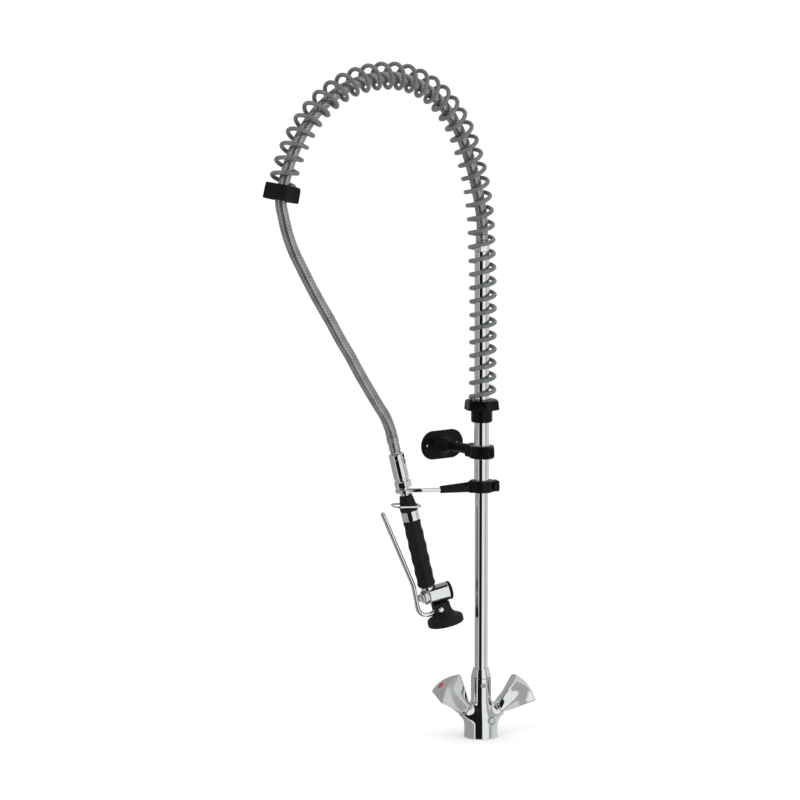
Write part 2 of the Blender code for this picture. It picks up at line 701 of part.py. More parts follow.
def make_handle_grip(spot):
    tail_outline = [
        (9.2, -55), (9.2, -46), (8.2, -46), (8.2, -43), (9.2, -43), (9.2, -8.6),
        (TAIL_NECK_R, -8.3), (TAIL_NECK_R, 20), (8.6, 20.3), (8.6, 24),
    ]
    add("inlet_tail", sleeve(4, down(tail_outline), ROUND), CHROME, spot)
    seal_path = []
    for k in range(ROUND):
        angle = 2 * math.pi * k / ROUND
        seal_path.append((8.95 * math.cos(angle), 8.95 * math.sin(angle), 44.5))
    add("swivel_o_ring", swept(seal_path, 0.55, 5, True), BLACK_RUBBER, spot)
    cone_outline = [(9.8, CONE_TOP_T), (10.6, CONE_TOP_T + 1), (12.6, 20), (14.4, BAND_TOP_T - 0.3)]
    cone = add("upper_grip", sleeve(9.3, down(cone_outline), ROUND), BLACK_RUBBER, spot)
    join(cone, sleeve(TAIL_NECK_R + GAP, down([(10, CONE_TOP_T), (10, 16)]), ROUND), spot)
    band = down([(14.4, BAND_TOP_T), (14.4, GRIP_TOP_T - 0.3)])
    add("grip_band", sleeve(9.7, band, 12, math.radians(15)), CHROME, spot)
    tube = down([(HANDLE_TUBE_R, 24.3), (HANDLE_TUBE_R, 163.2)])
    add("handle_tube", sleeve(4, tube, ROUND), SATIN, spot)
    length = GRIP_END_T - 4 - GRIP_TOP_T
    rows = 2 * GRIP_WAVES
    grip = []
    for k in range(rows + 1):
        share = k / rows
        swell = GRIP_WAVE * math.cos(2 * math.pi * GRIP_WAVES * share)
        grip.append((GRIP_R + swell, GRIP_TOP_T + length * share))
    grip += [(12.6, GRIP_END_T - 1.8), (11, GRIP_END_T)]
    add("handle_grip", sleeve(9.3, down(grip), ROUND), BLACK_RUBBER, spot)


def make_valve(spot):
    """The valve lies across the handle, with its plunger towards the lever."""
    across = frame("valve_axis", (0, 0, -VALVE_T), (1, 0, 0), (0, 0, 1), spot)
    barrel = [(VALVE_R, -32.5), (VALVE_R, 1.5), (11.5, 2.5), (11.5, 5), (13.2, 6), (13.2, 9.5)]
    body = add("valve_body", turned(barrel, FINE), CHROME, across)
    neck = placed(drum(9.5, 10, 15.3, ROUND), (0, 0, 0), (1, 0, 0), (0, 0, 1))
    join(body, neck, across)
    cut(body, drum(7.6, -24, 12, ROUND), across)
    cut(body, placed(drum(4, 5, 20, SMALL), (0, 0, 0), (1, 0, 0), (0, 0, 1)), across)
    cap = turned([(14.2, -32.8), (14.6, -33.7), (13.4, -36.1), (9, -37.9), (3, -38.3)], FINE)
    add("valve_cap", cap, BLACK_PLASTIC, across)
    bonnet = [(7.3, -3), (7.3, 9.8), (10.6, 9.8), (10.6, 12), (9.2, 13)]
    add("valve_bonnet", sleeve(4.2, bonnet, ROUND), CHROME, across)
    stem = [(3.8, -12), (3.8, 15.1), (6.4, 15.2), (6.4, 17.4), (5, 18.4)]
    add("plunger", turned(stem, ROUND), CHROME, across)
    add("valve_washer", drum(6.2, -15, -12.3, ROUND), BLACK_RUBBER, across)
    coil = []
    for k in range(29):
        angle = 2 * math.pi * k / 7
        x, y = 5.8 * math.cos(angle), 5.8 * math.sin(angle)
        coil.append((x, y, -11.2 + 7.2 * k / 28))
    add("plunger_spring", swept(coil, 0.7, 4), SATIN, across)


def make_head(spot):
    head_spot = frame("head_axis", (HEAD_A, 0, 0), (0, 0, 1), (1, 0, 0), spot)
    outer = [
        (13, HEAD_TOP_T), (13.4, 205), (15.4, 211), (20, 215.5), (25.5, 218),
        (28.6, 219.6), (HEAD_RIM_R, 223), (HEAD_RIM_R, 228), (28.6, 230.6),
        (27, HEAD_END_T), (25.5, HEAD_END_T), (25.5, 225),
    ]
    head = add("spray_head", turned(down(outer), FINE), BLACK_RUBBER, head_spot)
    block = box((PIVOT_A - 6, -13.4, -212), (-2, 13.4, -HEAD_TOP_T))
    join(head, block, spot)
    slot = box((PIVOT_A - 7.2, -4.2, -214.4), (12, 4.2, -197))
    cut(head, slot, spot)
    pivot = frame("lever_pivot", (PIVOT_A, 0, -PIVOT_T), (0, 1, 0), (1, 0, 0), spot)
    cut(head, drum(PIVOT_R + GAP, -18, 18, SMALL), pivot)
    screw = turned([(PIVOT_R, -13), (PIVOT_R, 13.8), (4.4, 13.9), (4.2, 15.2), (2.4, 16)], SMALL)
    add("lever_pivot_screw", screw, CHROME, pivot)
    face = turned(down([(25.1, 225.4), (25.1, 228.6), (20, 230), (8, 230.6)]), FINE)
    add("spray_face", face, BLACK_PLASTIC, head_spot)
    add("face_screw", turned(down([(4, 230.9), (3.6, 232), (1.5, 232.4)]), SMALL), SATIN, head_spot)
    make_lever(pivot)


def make_lever(pivot):
    """A bent bar on an eye round the pivot, drawn in the sprayer's frame about the pivot."""
    ring = turned([(PIVOT_R + GAP, -3.7), (7, -3.7), (7, 3.7), (PIVOT_R + GAP, 3.7)], ROUND, True)
    lever = add("lever", ring, CHROME, pivot)
    bends = [
        (43.5, 29), (41.8, 39), (32, 96), (23.5, 145), (21.9, 156), (22, 167),
        (23, 190), (22.6, 198), (18.8, 204.6), (12, 208.4), (4, 208.8), (-5.4, 206.6),
    ]
    path = [(a - PIVOT_A, t - PIVOT_T, 0) for a, t in bends]
    join(lever, swept(path, LEVER_R, SMALL), pivot)


def make_lock_ring(spot):
    """A wire loop round the handle's top, hinged on its inner strand."""
    hinge = frame("ring_hinge", (RING_A, 0, -RING_T), (0, 1, 0), (1, 0, 0), spot)
    half = 17
    corner = 9
    path = []
    for x, y, start in ((RING_REACH - corner, half - corner, 0), (corner, half - corner, 90),
                        (corner, corner - half, 180), (RING_REACH - corner, corner - half, 270)):
        for k in range(4):
            angle = math.radians(start + 30 * k)
            along = x + corner * math.cos(angle)
            path.append(Vector((along, 0, y + corner * math.sin(angle))))
    turn = Matrix.Rotation(-RING_TILT, 4, "Z")
    add("lock_ring", swept([turn @ point for point in path], RING_WIRE_R, 6, True), CHROME, hinge)


def main():
    clear_scene()
    make_mixer()
    make_handle(-1, "hot", math.radians(-11), RED)
    make_handle(1, "cold", math.radians(57), BLUE)
    make_column()
    make_spring_seat()
    make_spring()
    make_end_collar()
    make_hose()
    make_bracket()
    make_hook()
    spot = sprayer_frame()
    make_hose_end(spot)
    make_handle_grip(spot)
    make_valve(spot)
    make_head(spot)
    make_lock_ring(spot)


main()
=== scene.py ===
"""The looks of a deck-mounted pre-rinse faucet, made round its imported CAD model.

Sizes are in millimetres in the CAD model's frame: X runs from the hot knob to the cold
knob, -Y is the user's side and Z is up. MM turns them into metres.
"""
import json
from math import cos, pi, radians, sin

import bmesh
import bpy
import numpy as np
from mathutils import Matrix, Vector


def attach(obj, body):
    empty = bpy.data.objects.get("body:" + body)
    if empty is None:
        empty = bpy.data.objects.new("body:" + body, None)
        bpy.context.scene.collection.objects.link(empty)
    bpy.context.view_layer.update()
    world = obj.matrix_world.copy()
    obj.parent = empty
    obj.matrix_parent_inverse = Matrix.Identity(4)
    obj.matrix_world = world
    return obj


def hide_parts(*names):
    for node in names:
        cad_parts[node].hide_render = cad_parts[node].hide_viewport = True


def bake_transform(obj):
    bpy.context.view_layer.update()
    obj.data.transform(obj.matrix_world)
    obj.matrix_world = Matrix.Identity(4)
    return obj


MM = 0.001
# Room left between two pieces that fit together
GAP = 0.3
# Segments round a large turned piece and a small one
FINE = 72
ROUND = 40
# The step over which a cast shape's slope is measured
FIELD_STEP = 0.02

# Mixer
BASE_R = 27
NECK_R = 16.5
NECK_TOP = 97
ARM_HEIGHT = 18
ARM_RISE = radians(45)
ARM_FORWARD = radians(9)
ARM_R = 13.2
ARM_END = 40.5
ARM_BORE_R = 9.4
NECK_BORE_R = 13
NECK_BORE_Z = 63
SET_SCREW_Z = 86
EYE_WAY = (0.34, -0.94, 0)
EYE_HEIGHT = 31
EYE_REACH = 32.5
EYE_R = 4.6

# Knobs
KNOB_NECK = 44
KNOB_TIP = 91
KNOB_RISE = 10
KNOB_DOME = KNOB_TIP + KNOB_RISE
KNOB_NECK_R = 12.2
KNOB_LOBE_R = 35
KNOB_FLAT_R = 18.5
KNOB_SIDES = 180
HEADWORK_R = 8.6
HEADWORK_FOOT = 24
SPINDLE_BORE_R = 3.8
SPINDLE_TOP = 61.5
INDEX_R = 5

# Column
LOWER_R = 10.65
LOWER_BORE_R = 8.7
LOWER_BOTTOM = 94.5
LOWER_TOP = 440
UPPER_R = 12
UPPER_BORE_R = 11
UPPER_BOTTOM = 412
UPPER_TOP = 793
CLAMP_BORE_R = UPPER_R + GAP

# Spring and hose
SPRING_R = 19.1
SPRING_WIRE_R = 3.4
RISER_PITCH = 22
ARCH_PITCH = 23
SPRING_STEPS = 32
SPRING_TURN = -0.14
SPRING_START = 557
SPRING_END_TRIM = 9
HOSE_R = 9.2
HOSE_SIDES = 64
HOSE_STEP = 0.8
HOSE_LEAD = 12
HOSE_TOP_Z = 820
HOSE_NUT_R = 13.2
HOSE_BORE_R = 5
STRANDS = 16
STRAND_DEPTH = 0.28
ARCH_TURN = radians(20)
COLLAR_BOTTOM = 516.5
SPRING_NUT_BOTTOM = 537
SPRING_NUT_SIDES = 6
END_COLLAR_SIDES = 5

# The spring's centre line above the straight stretch: (distance from riser, height)
ARCH_LINE = [
    (0.8, 800), (1.8, 830), (5, 862), (10, 893), (18, 925), (29, 958), (44, 992),
    (66, 1024), (94, 1051), (128, 1070), (165, 1080), (203, 1081), (240, 1075),
    (274, 1062), (304, 1043), (330, 1018), (351, 989), (367, 957), (378, 925),
    (385, 895),
]
# The hose inside the arch, in the same plane
HOSE_ARCH = [
    (0, 834), (1, 848), (4, 866), (11, 896), (20, 927), (31.5, 958), (46.5, 990.5),
    (68.5, 1021.5), (96, 1048), (128.5, 1067), (165, 1077.5), (203, 1078.5),
    (239.5, 1072.5), (272.5, 1060), (302, 1041), (328, 1016.5), (348.5, 987.5),
    (364.5, 956), (375.5, 924.5), (382, 895),
]
# The hose hanging free from the arch to the sprayer: (x, y, z)
HOSE_FREE = [
    (-354, -127, 868), (-347, -123, 842), (-336, -117, 814), (-321, -108, 786),
    (-305, -99, 757), (-287, -89, 727), (-268, -78, 697), (-250, -67, 667),
    (-231, -55, 638), (-213, -43, 608), (-194, -29.5, 579), (-175, -14.5, 551),
    (-164.6, -7.2, 536.5), (-157.8, -2.8, 524),
]

# Wall bracket
BRACKET_HEIGHT = 468
BRACKET_HALF = 10
BUSH_R = 14.4
BRACKET_RING_R = 20.3
BRACKET_TURN = radians(24)
PLATE_DISTANCE = 105
PLATE_HALF_LENGTH = 42.5
PLATE_HALF_HEIGHT = 23.5
PLATE_THICKNESS = 5
PLATE_HOLE_OFFSET = 31

# Hook
HOOK_BOTTOM = 402.5
HOOK_TOP = 421.5
HOOK_MIDDLE = 412
HOOK_RING_R = 19.5
HOOK_ROD_R = 3.25
HOOK_ROD_Z = 408.5
HOOK_LOOP_X = -128
HOOK_LOOP_R = 12.4
HOOK_ARM_END = -69
HOOK_SCREW_X = 22

# Sprayer: t runs down its axis from the hook's loop, a points away from the riser
SPRAYER_ORIGIN = (-128.3, 0, 410)
SPRAYER_LEAN = radians(13.3)
WATER_BORE_R = 4
HOSE_END_T = -90
NUT_TOP_T = -65.7
NUT_R = 8.6
SLEEVE_TOP_T = -61.7
SLEEVE_HEX_T = -16
SLEEVE_BOTTOM_T = -5.5
SLEEVE_R = 12.5
SLEEVE_HEX_R = 14
CONE_TOP_T = 8.3
BAND_TOP_T = 34
GRIP_TOP_T = 51
GRIP_END_T = 163.4
GRIP_R = 14.3
GRIP_WAVE = 0.5
GRIP_WAVES = 5
VALVE_T = 179
VALVE_R = 15
BONNET_R = 10.6
HEAD_A = -17
HEAD_TOP_T = 194.5
HEAD_END_T = 232
# The spray head's outline: (t, radius)
HEAD_OUTLINE = [
    (HEAD_TOP_T, 13), (205, 13.4), (211, 15.4), (215.5, 20), (218, 25.5), (219.6, 28.6),
    (223, 29.5),
]
PIVOT_A = -11
PIVOT_T = 204
PIVOT_R = 3.4
LEVER_R = 3.7
RING_T = 30.4
RING_A = -18
RING_REACH = 43.9
RING_TILT = radians(14.5)
RING_WIRE_R = 1.5

# Camera
CAMERA_AZIMUTH = radians(-14)
CAMERA_ELEVATION = radians(8)
CAMERA_DISTANCE = 7160
CAMERA_TARGET = (-127.8, 31.9, 552.2)
CAMERA_LENS = 200
CAMERA_SENSOR = 36

# Studio: the tent, in millimetres, then the floor and the light panels, in metres
TENT_R = 900
TENT_BOTTOM = -700
TENT_TOP = 1700
TENT_STRENGTH = 1.2
# The tent's brightness by direction: (degrees round Z from the user's side, brightness)
TENT_BANDS = [
    (-180, 0.36), (-62, 0.36), (-60, 1.1), (-56, 1.1), (-54, 0.010), (-6, 0.010), (-4, 0.9),
    (40, 0.9), (44, 0.40), (62, 0.42), (66, 0.66), (164, 0.66), (168, 0.36), (180, 0.36),
]
FLOOR_HALF = 40
FLOOR_DROP = 0.0004
WORLD_STRENGTH = 1.1
# Light panels: name, place, width and power
PANELS = [("key", (-2.2, -2.6, 2.8), 1.8, 30), ("fill", (2.6, -2.0, 2.2), 2.2, 14)]
PANEL_AIM = (-0.15, 0, 0.5)


# ---------------- geometry helpers

def axes(origin, z_axis, x_axis=(1, 0, 0)):
    """A matrix in millimetres whose Z runs along z_axis and whose X is near x_axis."""
    z = Vector(z_axis).normalized()
    y = z.cross(Vector(x_axis)).normalized()
    x = y.cross(z)
    turn = Matrix((x, y, z)).transposed().to_4x4()
    return Matrix.Translation(Vector(origin)) @ turn


def sprayer_point(a, t):
    lean, rise = sin(SPRAYER_LEAN), cos(SPRAYER_LEAN)
    x0, y0, z0 = SPRAYER_ORIGIN
    return Vector((x0 - rise * a + lean * t, y0, z0 - lean * a - rise * t))


def in_arch(reach, height):
    x = -reach * cos(ARCH_TURN)
    y = -reach * sin(ARCH_TURN)
    return Vector((x, y, height))


def arm_axis(side):
    level = cos(ARM_RISE)
    x = side * level * cos(ARM_FORWARD)
    return Vector((x, -level * sin(ARM_FORWARD), sin(ARM_RISE)))


def eye_point(reach):
    """A point on the chain eye's stem, as far as this from the mixer's axis."""
    return Vector(EYE_WAY).normalized() * reach + Vector((0, 0, EYE_HEIGHT))


def raised(outline, lift):
    return [(radius, height + lift) for radius, height in outline]


def down(outline):
    """Turn (radius, t) points, with t running down, into heights."""
    return [(radius, -t) for radius, t in reversed(outline)]


def polygon_share(angle, sides):
    """A regular polygon's edge at an angle, as a share of its corners' radius."""
    step = 2 * pi / sides
    return cos(step / 2) / cos(abs(angle % step - step / 2))


def angle_from_flat(angle, corner, sides):
    """The angle from the middle of the nearest flat, for a polygon with a corner there."""
    step = 2 * pi / sides
    return step / 2 - abs((angle - corner + step / 2) % step - step / 2)


def blunted(radius, face, soft):
    """The smaller of two radii, eased where they meet."""
    share = max(0.0, min(1.0, 0.5 + 0.5 * (radius - face) / soft))
    return radius * (1 - share) + face * share - soft * share * (1 - share)


def softened(outline, radius, closed):
    """Round the corners of an outline."""
    count = len(outline)
    points = []
    for k, corner in enumerate(outline):
        here = Vector(corner)
        before = Vector(outline[k - 1]) - here
        after = Vector(outline[(k + 1) % count]) - here
        at_end = not closed and k in (0, count - 1)
        if at_end or before.angle(-after, 0) < radians(8):
            points.append(corner)
            continue
        reach = min(radius, before.length * 0.45, after.length * 0.45)
        first = here + before.normalized() * reach
        last = here + after.normalized() * reach
        steps = 5
        for n in range(steps + 1):
            share = n / steps
            low = first.lerp(here, share)
            points.append(tuple(low.lerp(here.lerp(last, share), share)))
    return points


def skin(shape, rings, closed_rings):
    """Faces between rings of points, closed by end caps unless the last meets the first."""
    pairs = list(zip(rings, rings[1:]))
    if closed_rings:
        pairs.append((rings[-1], rings[0]))
    count = len(rings[0])
    for low, high in pairs:
        for k in range(count):
            n = (k + 1) % count
            shape.faces.new((low[k], low[n], high[n], high[k]))
    if not closed_rings:
        shape.faces.new(list(reversed(rings[0])))
        shape.faces.new(rings[-1])


def turned(outline, segments=FINE, ring=False, radius_at=None, soft=0.6):
    """Turn an outline of (radius, height) points about Z, with its corners rounded."""
    shape = bmesh.new()
    rings = []
    for radius, height in softened(outline, soft, ring):
        row = []
        for k in range(segments):
            angle = 2 * pi * k / segments
            reach = radius_at(radius, height, angle) if radius_at else radius
            point = (reach * cos(angle), reach * sin(angle), height)
            row.append(shape.verts.new(point))
        rings.append(row)
    skin(shape, rings, ring)
    return shape


def sleeve(bore, outline, segments=FINE, radius_at=None, soft=0.6):
    """A turned piece with a straight round bore through it."""
    low, high = outline[0][1], outline[-1][1]
    return turned([(bore, low), *outline, (bore, high)], segments, True, radius_at, soft)


def running_lengths(line):
    """How far along a line each of its points is."""
    lengths = [0.0]
    for a, b in zip(line, line[1:]):
        lengths.append(lengths[-1] + (b - a).length)
    return lengths


def smooth_line(points, step):
    """Points about one step apart on a smooth curve through the given points."""
    given = [Vector(point) for point in points]
    ends = [2 * given[0] - given[1], *given, 2 * given[-1] - given[-2]]
    fine = []
    pieces = 24
    for p0, p1, p2, p3 in zip(ends, ends[1:], ends[2:], ends[3:]):
        for k in range(pieces):
            u = k / pieces
            bend = (2 * p0 - 5 * p1 + 4 * p2 - p3) * u * u
            twist = (3 * p1 - p0 - 3 * p2 + p3) * u ** 3
            fine.append((2 * p1 + (p2 - p0) * u + bend + twist) / 2)
    fine.append(given[-1])
    lengths = running_lengths(fine)
    count = max(2, round(lengths[-1] / step))
    line = []
    seek = 0
    for k in range(count + 1):
        goal = lengths[-1] * k / count
        while seek < len(lengths) - 2 and lengths[seek + 1] < goal:
            seek += 1
        share = (goal - lengths[seek]) / (lengths[seek + 1] - lengths[seek])
        line.append(fine[seek].lerp(fine[seek + 1], share))
    return line


def swept(path, radius, sides=20, loop=False, radius_at=None, domed=False):
    """A round bar along a path. domed rounds both of its ends."""
    points = [Vector(point) for point in path]
    count = len(points)
    shape = bmesh.new()
    rings = []
    side = None
    for k, point in enumerate(points):
        before = points[k - 1] if loop or k else point
        after = points[(k + 1) % count] if loop or k < count - 1 else point
        along = (after - before).normalized()
        if side is None:
            side = along.orthogonal()
            first = along.copy()
        side = (side - along * side.dot(along)).normalized()
        other = along.cross(side)
        row = []
        for n in range(sides):
            angle = 2 * pi * n / sides
            size = radius_at(k, angle) if radius_at else radius
            offset = side * cos(angle) + other * sin(angle)
            row.append(shape.verts.new(point + offset * size))
        rings.append(row)
    if domed:
        rings = dome_rings(shape, points[0], -first, rings[0], True) + rings
        rings = rings + dome_rings(shape, points[-1], along, rings[-1], False)
    skin(shape, rings, loop)
    return shape


def dome_rings(shape, centre, along, ring, at_start):
    """Rings of a round cap that grows out of an end ring."""
    offsets = [vert.co - centre for vert in ring]
    radius = offsets[0].length
    rings = []
    for k in range(1, 6):
        angle = radians(88) * k / 5
        lift = along * radius * sin(angle)
        rings.append([shape.verts.new(centre + lift + off * cos(angle)) for off in offsets])
    return list(reversed(rings)) if at_start else rings


def merged(*shapes):
    """Several shapes in one, as separate shells."""
    whole = bmesh.new()
    for shape in shapes:
        mesh = bpy.data.meshes.new("part")
        shape.to_mesh(mesh)
        shape.free()
        whole.from_mesh(mesh)
        bpy.data.meshes.remove(mesh)
    return whole


def moved(shape, matrix):
    bmesh.ops.transform(shape, matrix=matrix, verts=shape.verts)
    return shape


# ---------------- cast shapes

def about_axis(p, start, end):
    """Each point's distance along an axis and off it, and the axis's length."""
    start, end = np.array(start, float), np.array(end, float)
    length = np.linalg.norm(end - start)
    axis = (end - start) / length
    rel = p - start
    t = rel @ axis
    return t, np.linalg.norm(rel - t[:, None] * axis, axis=1), length


def drum(p, start, end, radius, soft):
    """Signed distance to a cylinder with rounded edges."""
    t, off, length = about_axis(p, start, end)
    wide = off - (radius - soft)
    tall = np.abs(t - length / 2) - (length / 2 - soft)
    outside = np.hypot(np.maximum(wide, 0), np.maximum(tall, 0))
    return outside + np.minimum(np.maximum(wide, tall), 0) - soft


def tapered_bar(p, start, end, start_radius, end_radius):
    """Signed distance, nearly, to a round bar that tapers from start to end."""
    t, off, length = about_axis(p, start, end)
    radius = start_radius + (end_radius - start_radius) * np.clip(t / length, 0, 1)
    ends = np.maximum(-t, t - length)
    return softer_max(off - radius, ends, 1.6)


def box(p, low, high, soft):
    """Signed distance to a box with rounded edges."""
    low, high = np.array(low, float), np.array(high, float)
    q = np.abs(p - (low + high) / 2) - ((high - low) / 2 - soft)
    outside = np.linalg.norm(np.maximum(q, 0), axis=1)
    return outside + np.minimum(q.max(axis=1), 0) - soft


def softer_min(a, b, blend):
    """Join two distances, with a fillet where they meet."""
    h = np.clip(0.5 + 0.5 * (b - a) / blend, 0, 1)
    return b * (1 - h) + a * h - blend * h * (1 - h)


def softer_max(a, b, blend):
    return -softer_min(-a, -b, blend)


def without(a, b, blend):
    """Cut shape b out of shape a."""
    return softer_max(a, -b, blend)


def smooth_step(x, low, high):
    share = np.clip((x - low) / (high - low), 0, 1)
    return share * share * (3 - 2 * share)


def field_slope(field, points):
    step = FIELD_STEP
    slope = np.zeros_like(points)
    for axis in range(3):
        shift = np.zeros(3)
        shift[axis] = step
        slope[:, axis] = (field(points + shift) - field(points - shift)) / (2 * step)
    return slope


def cast(field, low, high, cell):
    """The closed surface where a field is zero: one quad for each grid edge it crosses."""
    low, high = np.array(low, float), np.array(high, float)
    size = np.ceil((high - low) / cell).astype(int) + 1
    lines = [low[axis] + cell * np.arange(size[axis]) for axis in range(3)]
    grid = np.stack(np.meshgrid(*lines, indexing="ij"), axis=-1).reshape(-1, 3)
    inside = (field(grid) < 0).reshape(size)
    count = np.zeros(size - 1, int)
    for i in (0, 1):
        for j in (0, 1):
            for k in (0, 1):
                count += inside[i:size[0] - 1 + i, j:size[1] - 1 + j, k:size[2] - 1 + k]
    active = (count > 0) & (count < 8)
    number = -np.ones(active.shape, int)
    number[active] = np.arange(active.sum())
    points = low + cell * (np.argwhere(active) + 0.5)
    for _ in range(7):
        slope = field_slope(field, points)
        steep = np.maximum((slope ** 2).sum(axis=1), 0.05)
        move = -(field(points) / steep)[:, None] * slope
        reach = np.linalg.norm(move, axis=1, keepdims=True)
        points = points + move * np.minimum(1, 0.7 * cell / np.maximum(reach, 1e-9))
    faces = []
    for axis in range(3):
        one, two = (axis + 1) % 3, (axis + 2) % 3
        near = np.take(inside, range(size[axis] - 1), axis)
        far = np.take(inside, range(1, size[axis]), axis)
        for start in np.argwhere(near != far):
            if start[one] == 0 or start[two] == 0:
                continue
            if start[one] >= size[one] - 1 or start[two] >= size[two] - 1:
                continue
            corners = []
            for shift_one, shift_two in ((1, 1), (0, 1), (0, 0), (1, 0)):
                cell_at = start.copy()
                cell_at[one] -= shift_one
                cell_at[two] -= shift_two
                corners.append(number[tuple(cell_at)])
            if not near[tuple(start)]:
                corners.reverse()
            faces.append(corners)
    mesh = bpy.data.meshes.new("cast")
    mesh.from_pydata(points.tolist(), [], faces)
    shape = bmesh.new()
    shape.from_mesh(mesh)
    bpy.data.meshes.remove(mesh)
    bmesh.ops.recalc_face_normals(shape, faces=shape.faces)
    return shape


# ---------------- materials

def new_material(name):
    material = bpy.data.materials.new(name)
    material.use_nodes = True
    nodes = material.node_tree.nodes
    return material, nodes, material.node_tree.links, nodes["Principled BSDF"]


def put(node, values):
    for name, value in values.items():
        node.inputs[name].default_value = value


def noise(nodes, links, scale, detail):
    place = nodes.new("ShaderNodeTexCoord")
    texture = nodes.new("ShaderNodeTexNoise")
    put(texture, {"Scale": scale, "Detail": detail})
    links.new(place.outputs["Object"], texture.inputs["Vector"])
    return texture.outputs["Fac"]


def spread(nodes, links, source, low, high):
    """Map a noise's middle range to low..high."""
    ranger = nodes.new("ShaderNodeMapRange")
    put(ranger, {"From Min": 0.3, "From Max": 0.7, "To Min": low, "To Max": high})
    links.new(source, ranger.inputs["Value"])
    return ranger.outputs["Result"]


def two_tone(nodes, links, source, dark, light, start=0.3, stop=0.7):
    """A colour that goes from dark to light while the source goes from start to stop."""
    ramp = nodes.new("ShaderNodeValToRGB")
    ramp.color_ramp.elements[0].position = start
    ramp.color_ramp.elements[0].color = (*dark, 1)
    ramp.color_ramp.elements[1].position = stop
    ramp.color_ramp.elements[1].color = (*light, 1)
    links.new(source, ramp.inputs["Fac"])
    return ramp.outputs["Color"]


def bumped(nodes, links, shader, source, strength, distance):
    bump = nodes.new("ShaderNodeBump")
    put(bump, {"Strength": strength, "Distance": distance * MM})
    links.new(source, bump.inputs["Height"])
    links.new(bump.outputs["Normal"], shader.inputs["Normal"])


def metal(name, dark, light, smooth, rough, scale=900, bump=0.0):
    """Metal whose tone and gloss vary a little; smooth and rough are roughness limits."""
    material, nodes, links, shader = new_material(name)
    grain = noise(nodes, links, scale, 3)
    wear = noise(nodes, links, 60, 2)
    links.new(two_tone(nodes, links, wear, dark, light), shader.inputs["Base Color"])
    links.new(spread(nodes, links, grain, smooth, rough), shader.inputs["Roughness"])
    put(shader, {"Metallic": 1.0})
    if bump:
        bumped(nodes, links, shader, grain, bump, 0.05)
    return material


def moulded(name, dark, light, smooth, rough, scale, bump, specular=0.5):
    """Plastic, rubber or paint with a fine grain."""
    material, nodes, links, shader = new_material(name)
    grain = noise(nodes, links, scale, 4)
    tone = noise(nodes, links, 45, 3)
    links.new(two_tone(nodes, links, tone, dark, light), shader.inputs["Base Color"])
    links.new(spread(nodes, links, tone, smooth, rough), shader.inputs["Roughness"])
    put(shader, {"Specular IOR Level": specular})
    bumped(nodes, links, shader, grain, bump, 0.1)
    return material


def braided(name):
    """Bright wire strands with painted shade where they dip under each other, from the braid's
    height.
    """
    material, nodes, links, shader = new_material(name)
    height = nodes.new("ShaderNodeAttribute")
    height.attribute_name = "braid"
    fleck = noise(nodes, links, 1400, 2)
    # painted shade: the strands' colour goes dark where the braid's height is low, in the grooves
    # and dips between strands
    strands = two_tone(nodes, links, height.outputs["Fac"], (0.040, 0.042, 0.046),
                       (0.560, 0.565, 0.580), 0.2, 0.72)
    mix = nodes.new("ShaderNodeMix")
    mix.data_type = "RGBA"
    mix.blend_type = "MULTIPLY"
    mix.inputs["Factor"].default_value = 0.5
    links.new(strands, mix.inputs["A"])
    tone = two_tone(nodes, links, fleck, (0.5, 0.5, 0.5), (1, 1, 1))
    links.new(tone, mix.inputs["B"])
    links.new(mix.outputs["Result"], shader.inputs["Base Color"])
    put(shader, {"Metallic": 0.85, "Roughness": 0.24})
    bumped(nodes, links, shader, fleck, 0.3, 0.1)
    return material


def make_materials():
    """One material for each slot: tones, roughness limits, grain scale, bump and gloss."""
    metals = {
        "chrome": ((0.80, 0.82, 0.82), (0.86, 0.875, 0.87), 0.02, 0.05),
        "satin_steel": ((0.50, 0.49, 0.47), (0.62, 0.61, 0.59), 0.22, 0.36, 600, 0.15),
        "black_steel": ((0.016, 0.016, 0.018), (0.028, 0.028, 0.030), 0.30, 0.45, 600, 0.1),
        "brass": ((0.62, 0.45, 0.20), (0.75, 0.58, 0.30), 0.20, 0.34, 500, 0.1),
    }
    mouldings = {
        "black_plastic": ((0.0015, 0.0015, 0.0018), (0.003, 0.003, 0.0035), 0.24, 0.36, 900,
                          0.12, 0.16),
        "black_rubber": ((0.004, 0.004, 0.0045), (0.008, 0.008, 0.009), 0.42, 0.58, 1500,
                         0.35, 0.22),
        "grey_coat": ((0.085, 0.092, 0.100), (0.125, 0.132, 0.142), 0.16, 0.26, 700, 0.10, 1.0),
        "red_plastic": ((0.55, 0.01, 0.04), (0.66, 0.015, 0.06), 0.15, 0.25, 400, 0.03),
        "blue_plastic": ((0.03, 0.09, 0.42), (0.05, 0.13, 0.52), 0.15, 0.25, 400, 0.03),
    }
    looks = {"grey_braid": braided("grey_braid")}
    for make, table in ((metal, metals), (moulded, mouldings)):
        for name, values in table.items():
            looks[name] = make(name, *values)
    return looks


# ---------------- pieces

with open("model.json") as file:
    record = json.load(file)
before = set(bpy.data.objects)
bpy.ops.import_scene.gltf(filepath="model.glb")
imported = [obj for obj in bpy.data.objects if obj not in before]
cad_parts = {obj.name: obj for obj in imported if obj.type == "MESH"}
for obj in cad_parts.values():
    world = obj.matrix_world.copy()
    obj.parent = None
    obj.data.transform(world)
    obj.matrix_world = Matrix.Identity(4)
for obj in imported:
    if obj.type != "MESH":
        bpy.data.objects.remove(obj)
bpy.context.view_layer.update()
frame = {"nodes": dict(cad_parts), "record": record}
RECORD = frame["record"]
BODY_OF = {node: body for body, nodes in RECORD["behaviour"]["bodies"].items() for node in nodes}
SLOT_OF = {part["node"]: part["material_slot"] for part in RECORD["subparts"]}
LOOKS = make_materials()


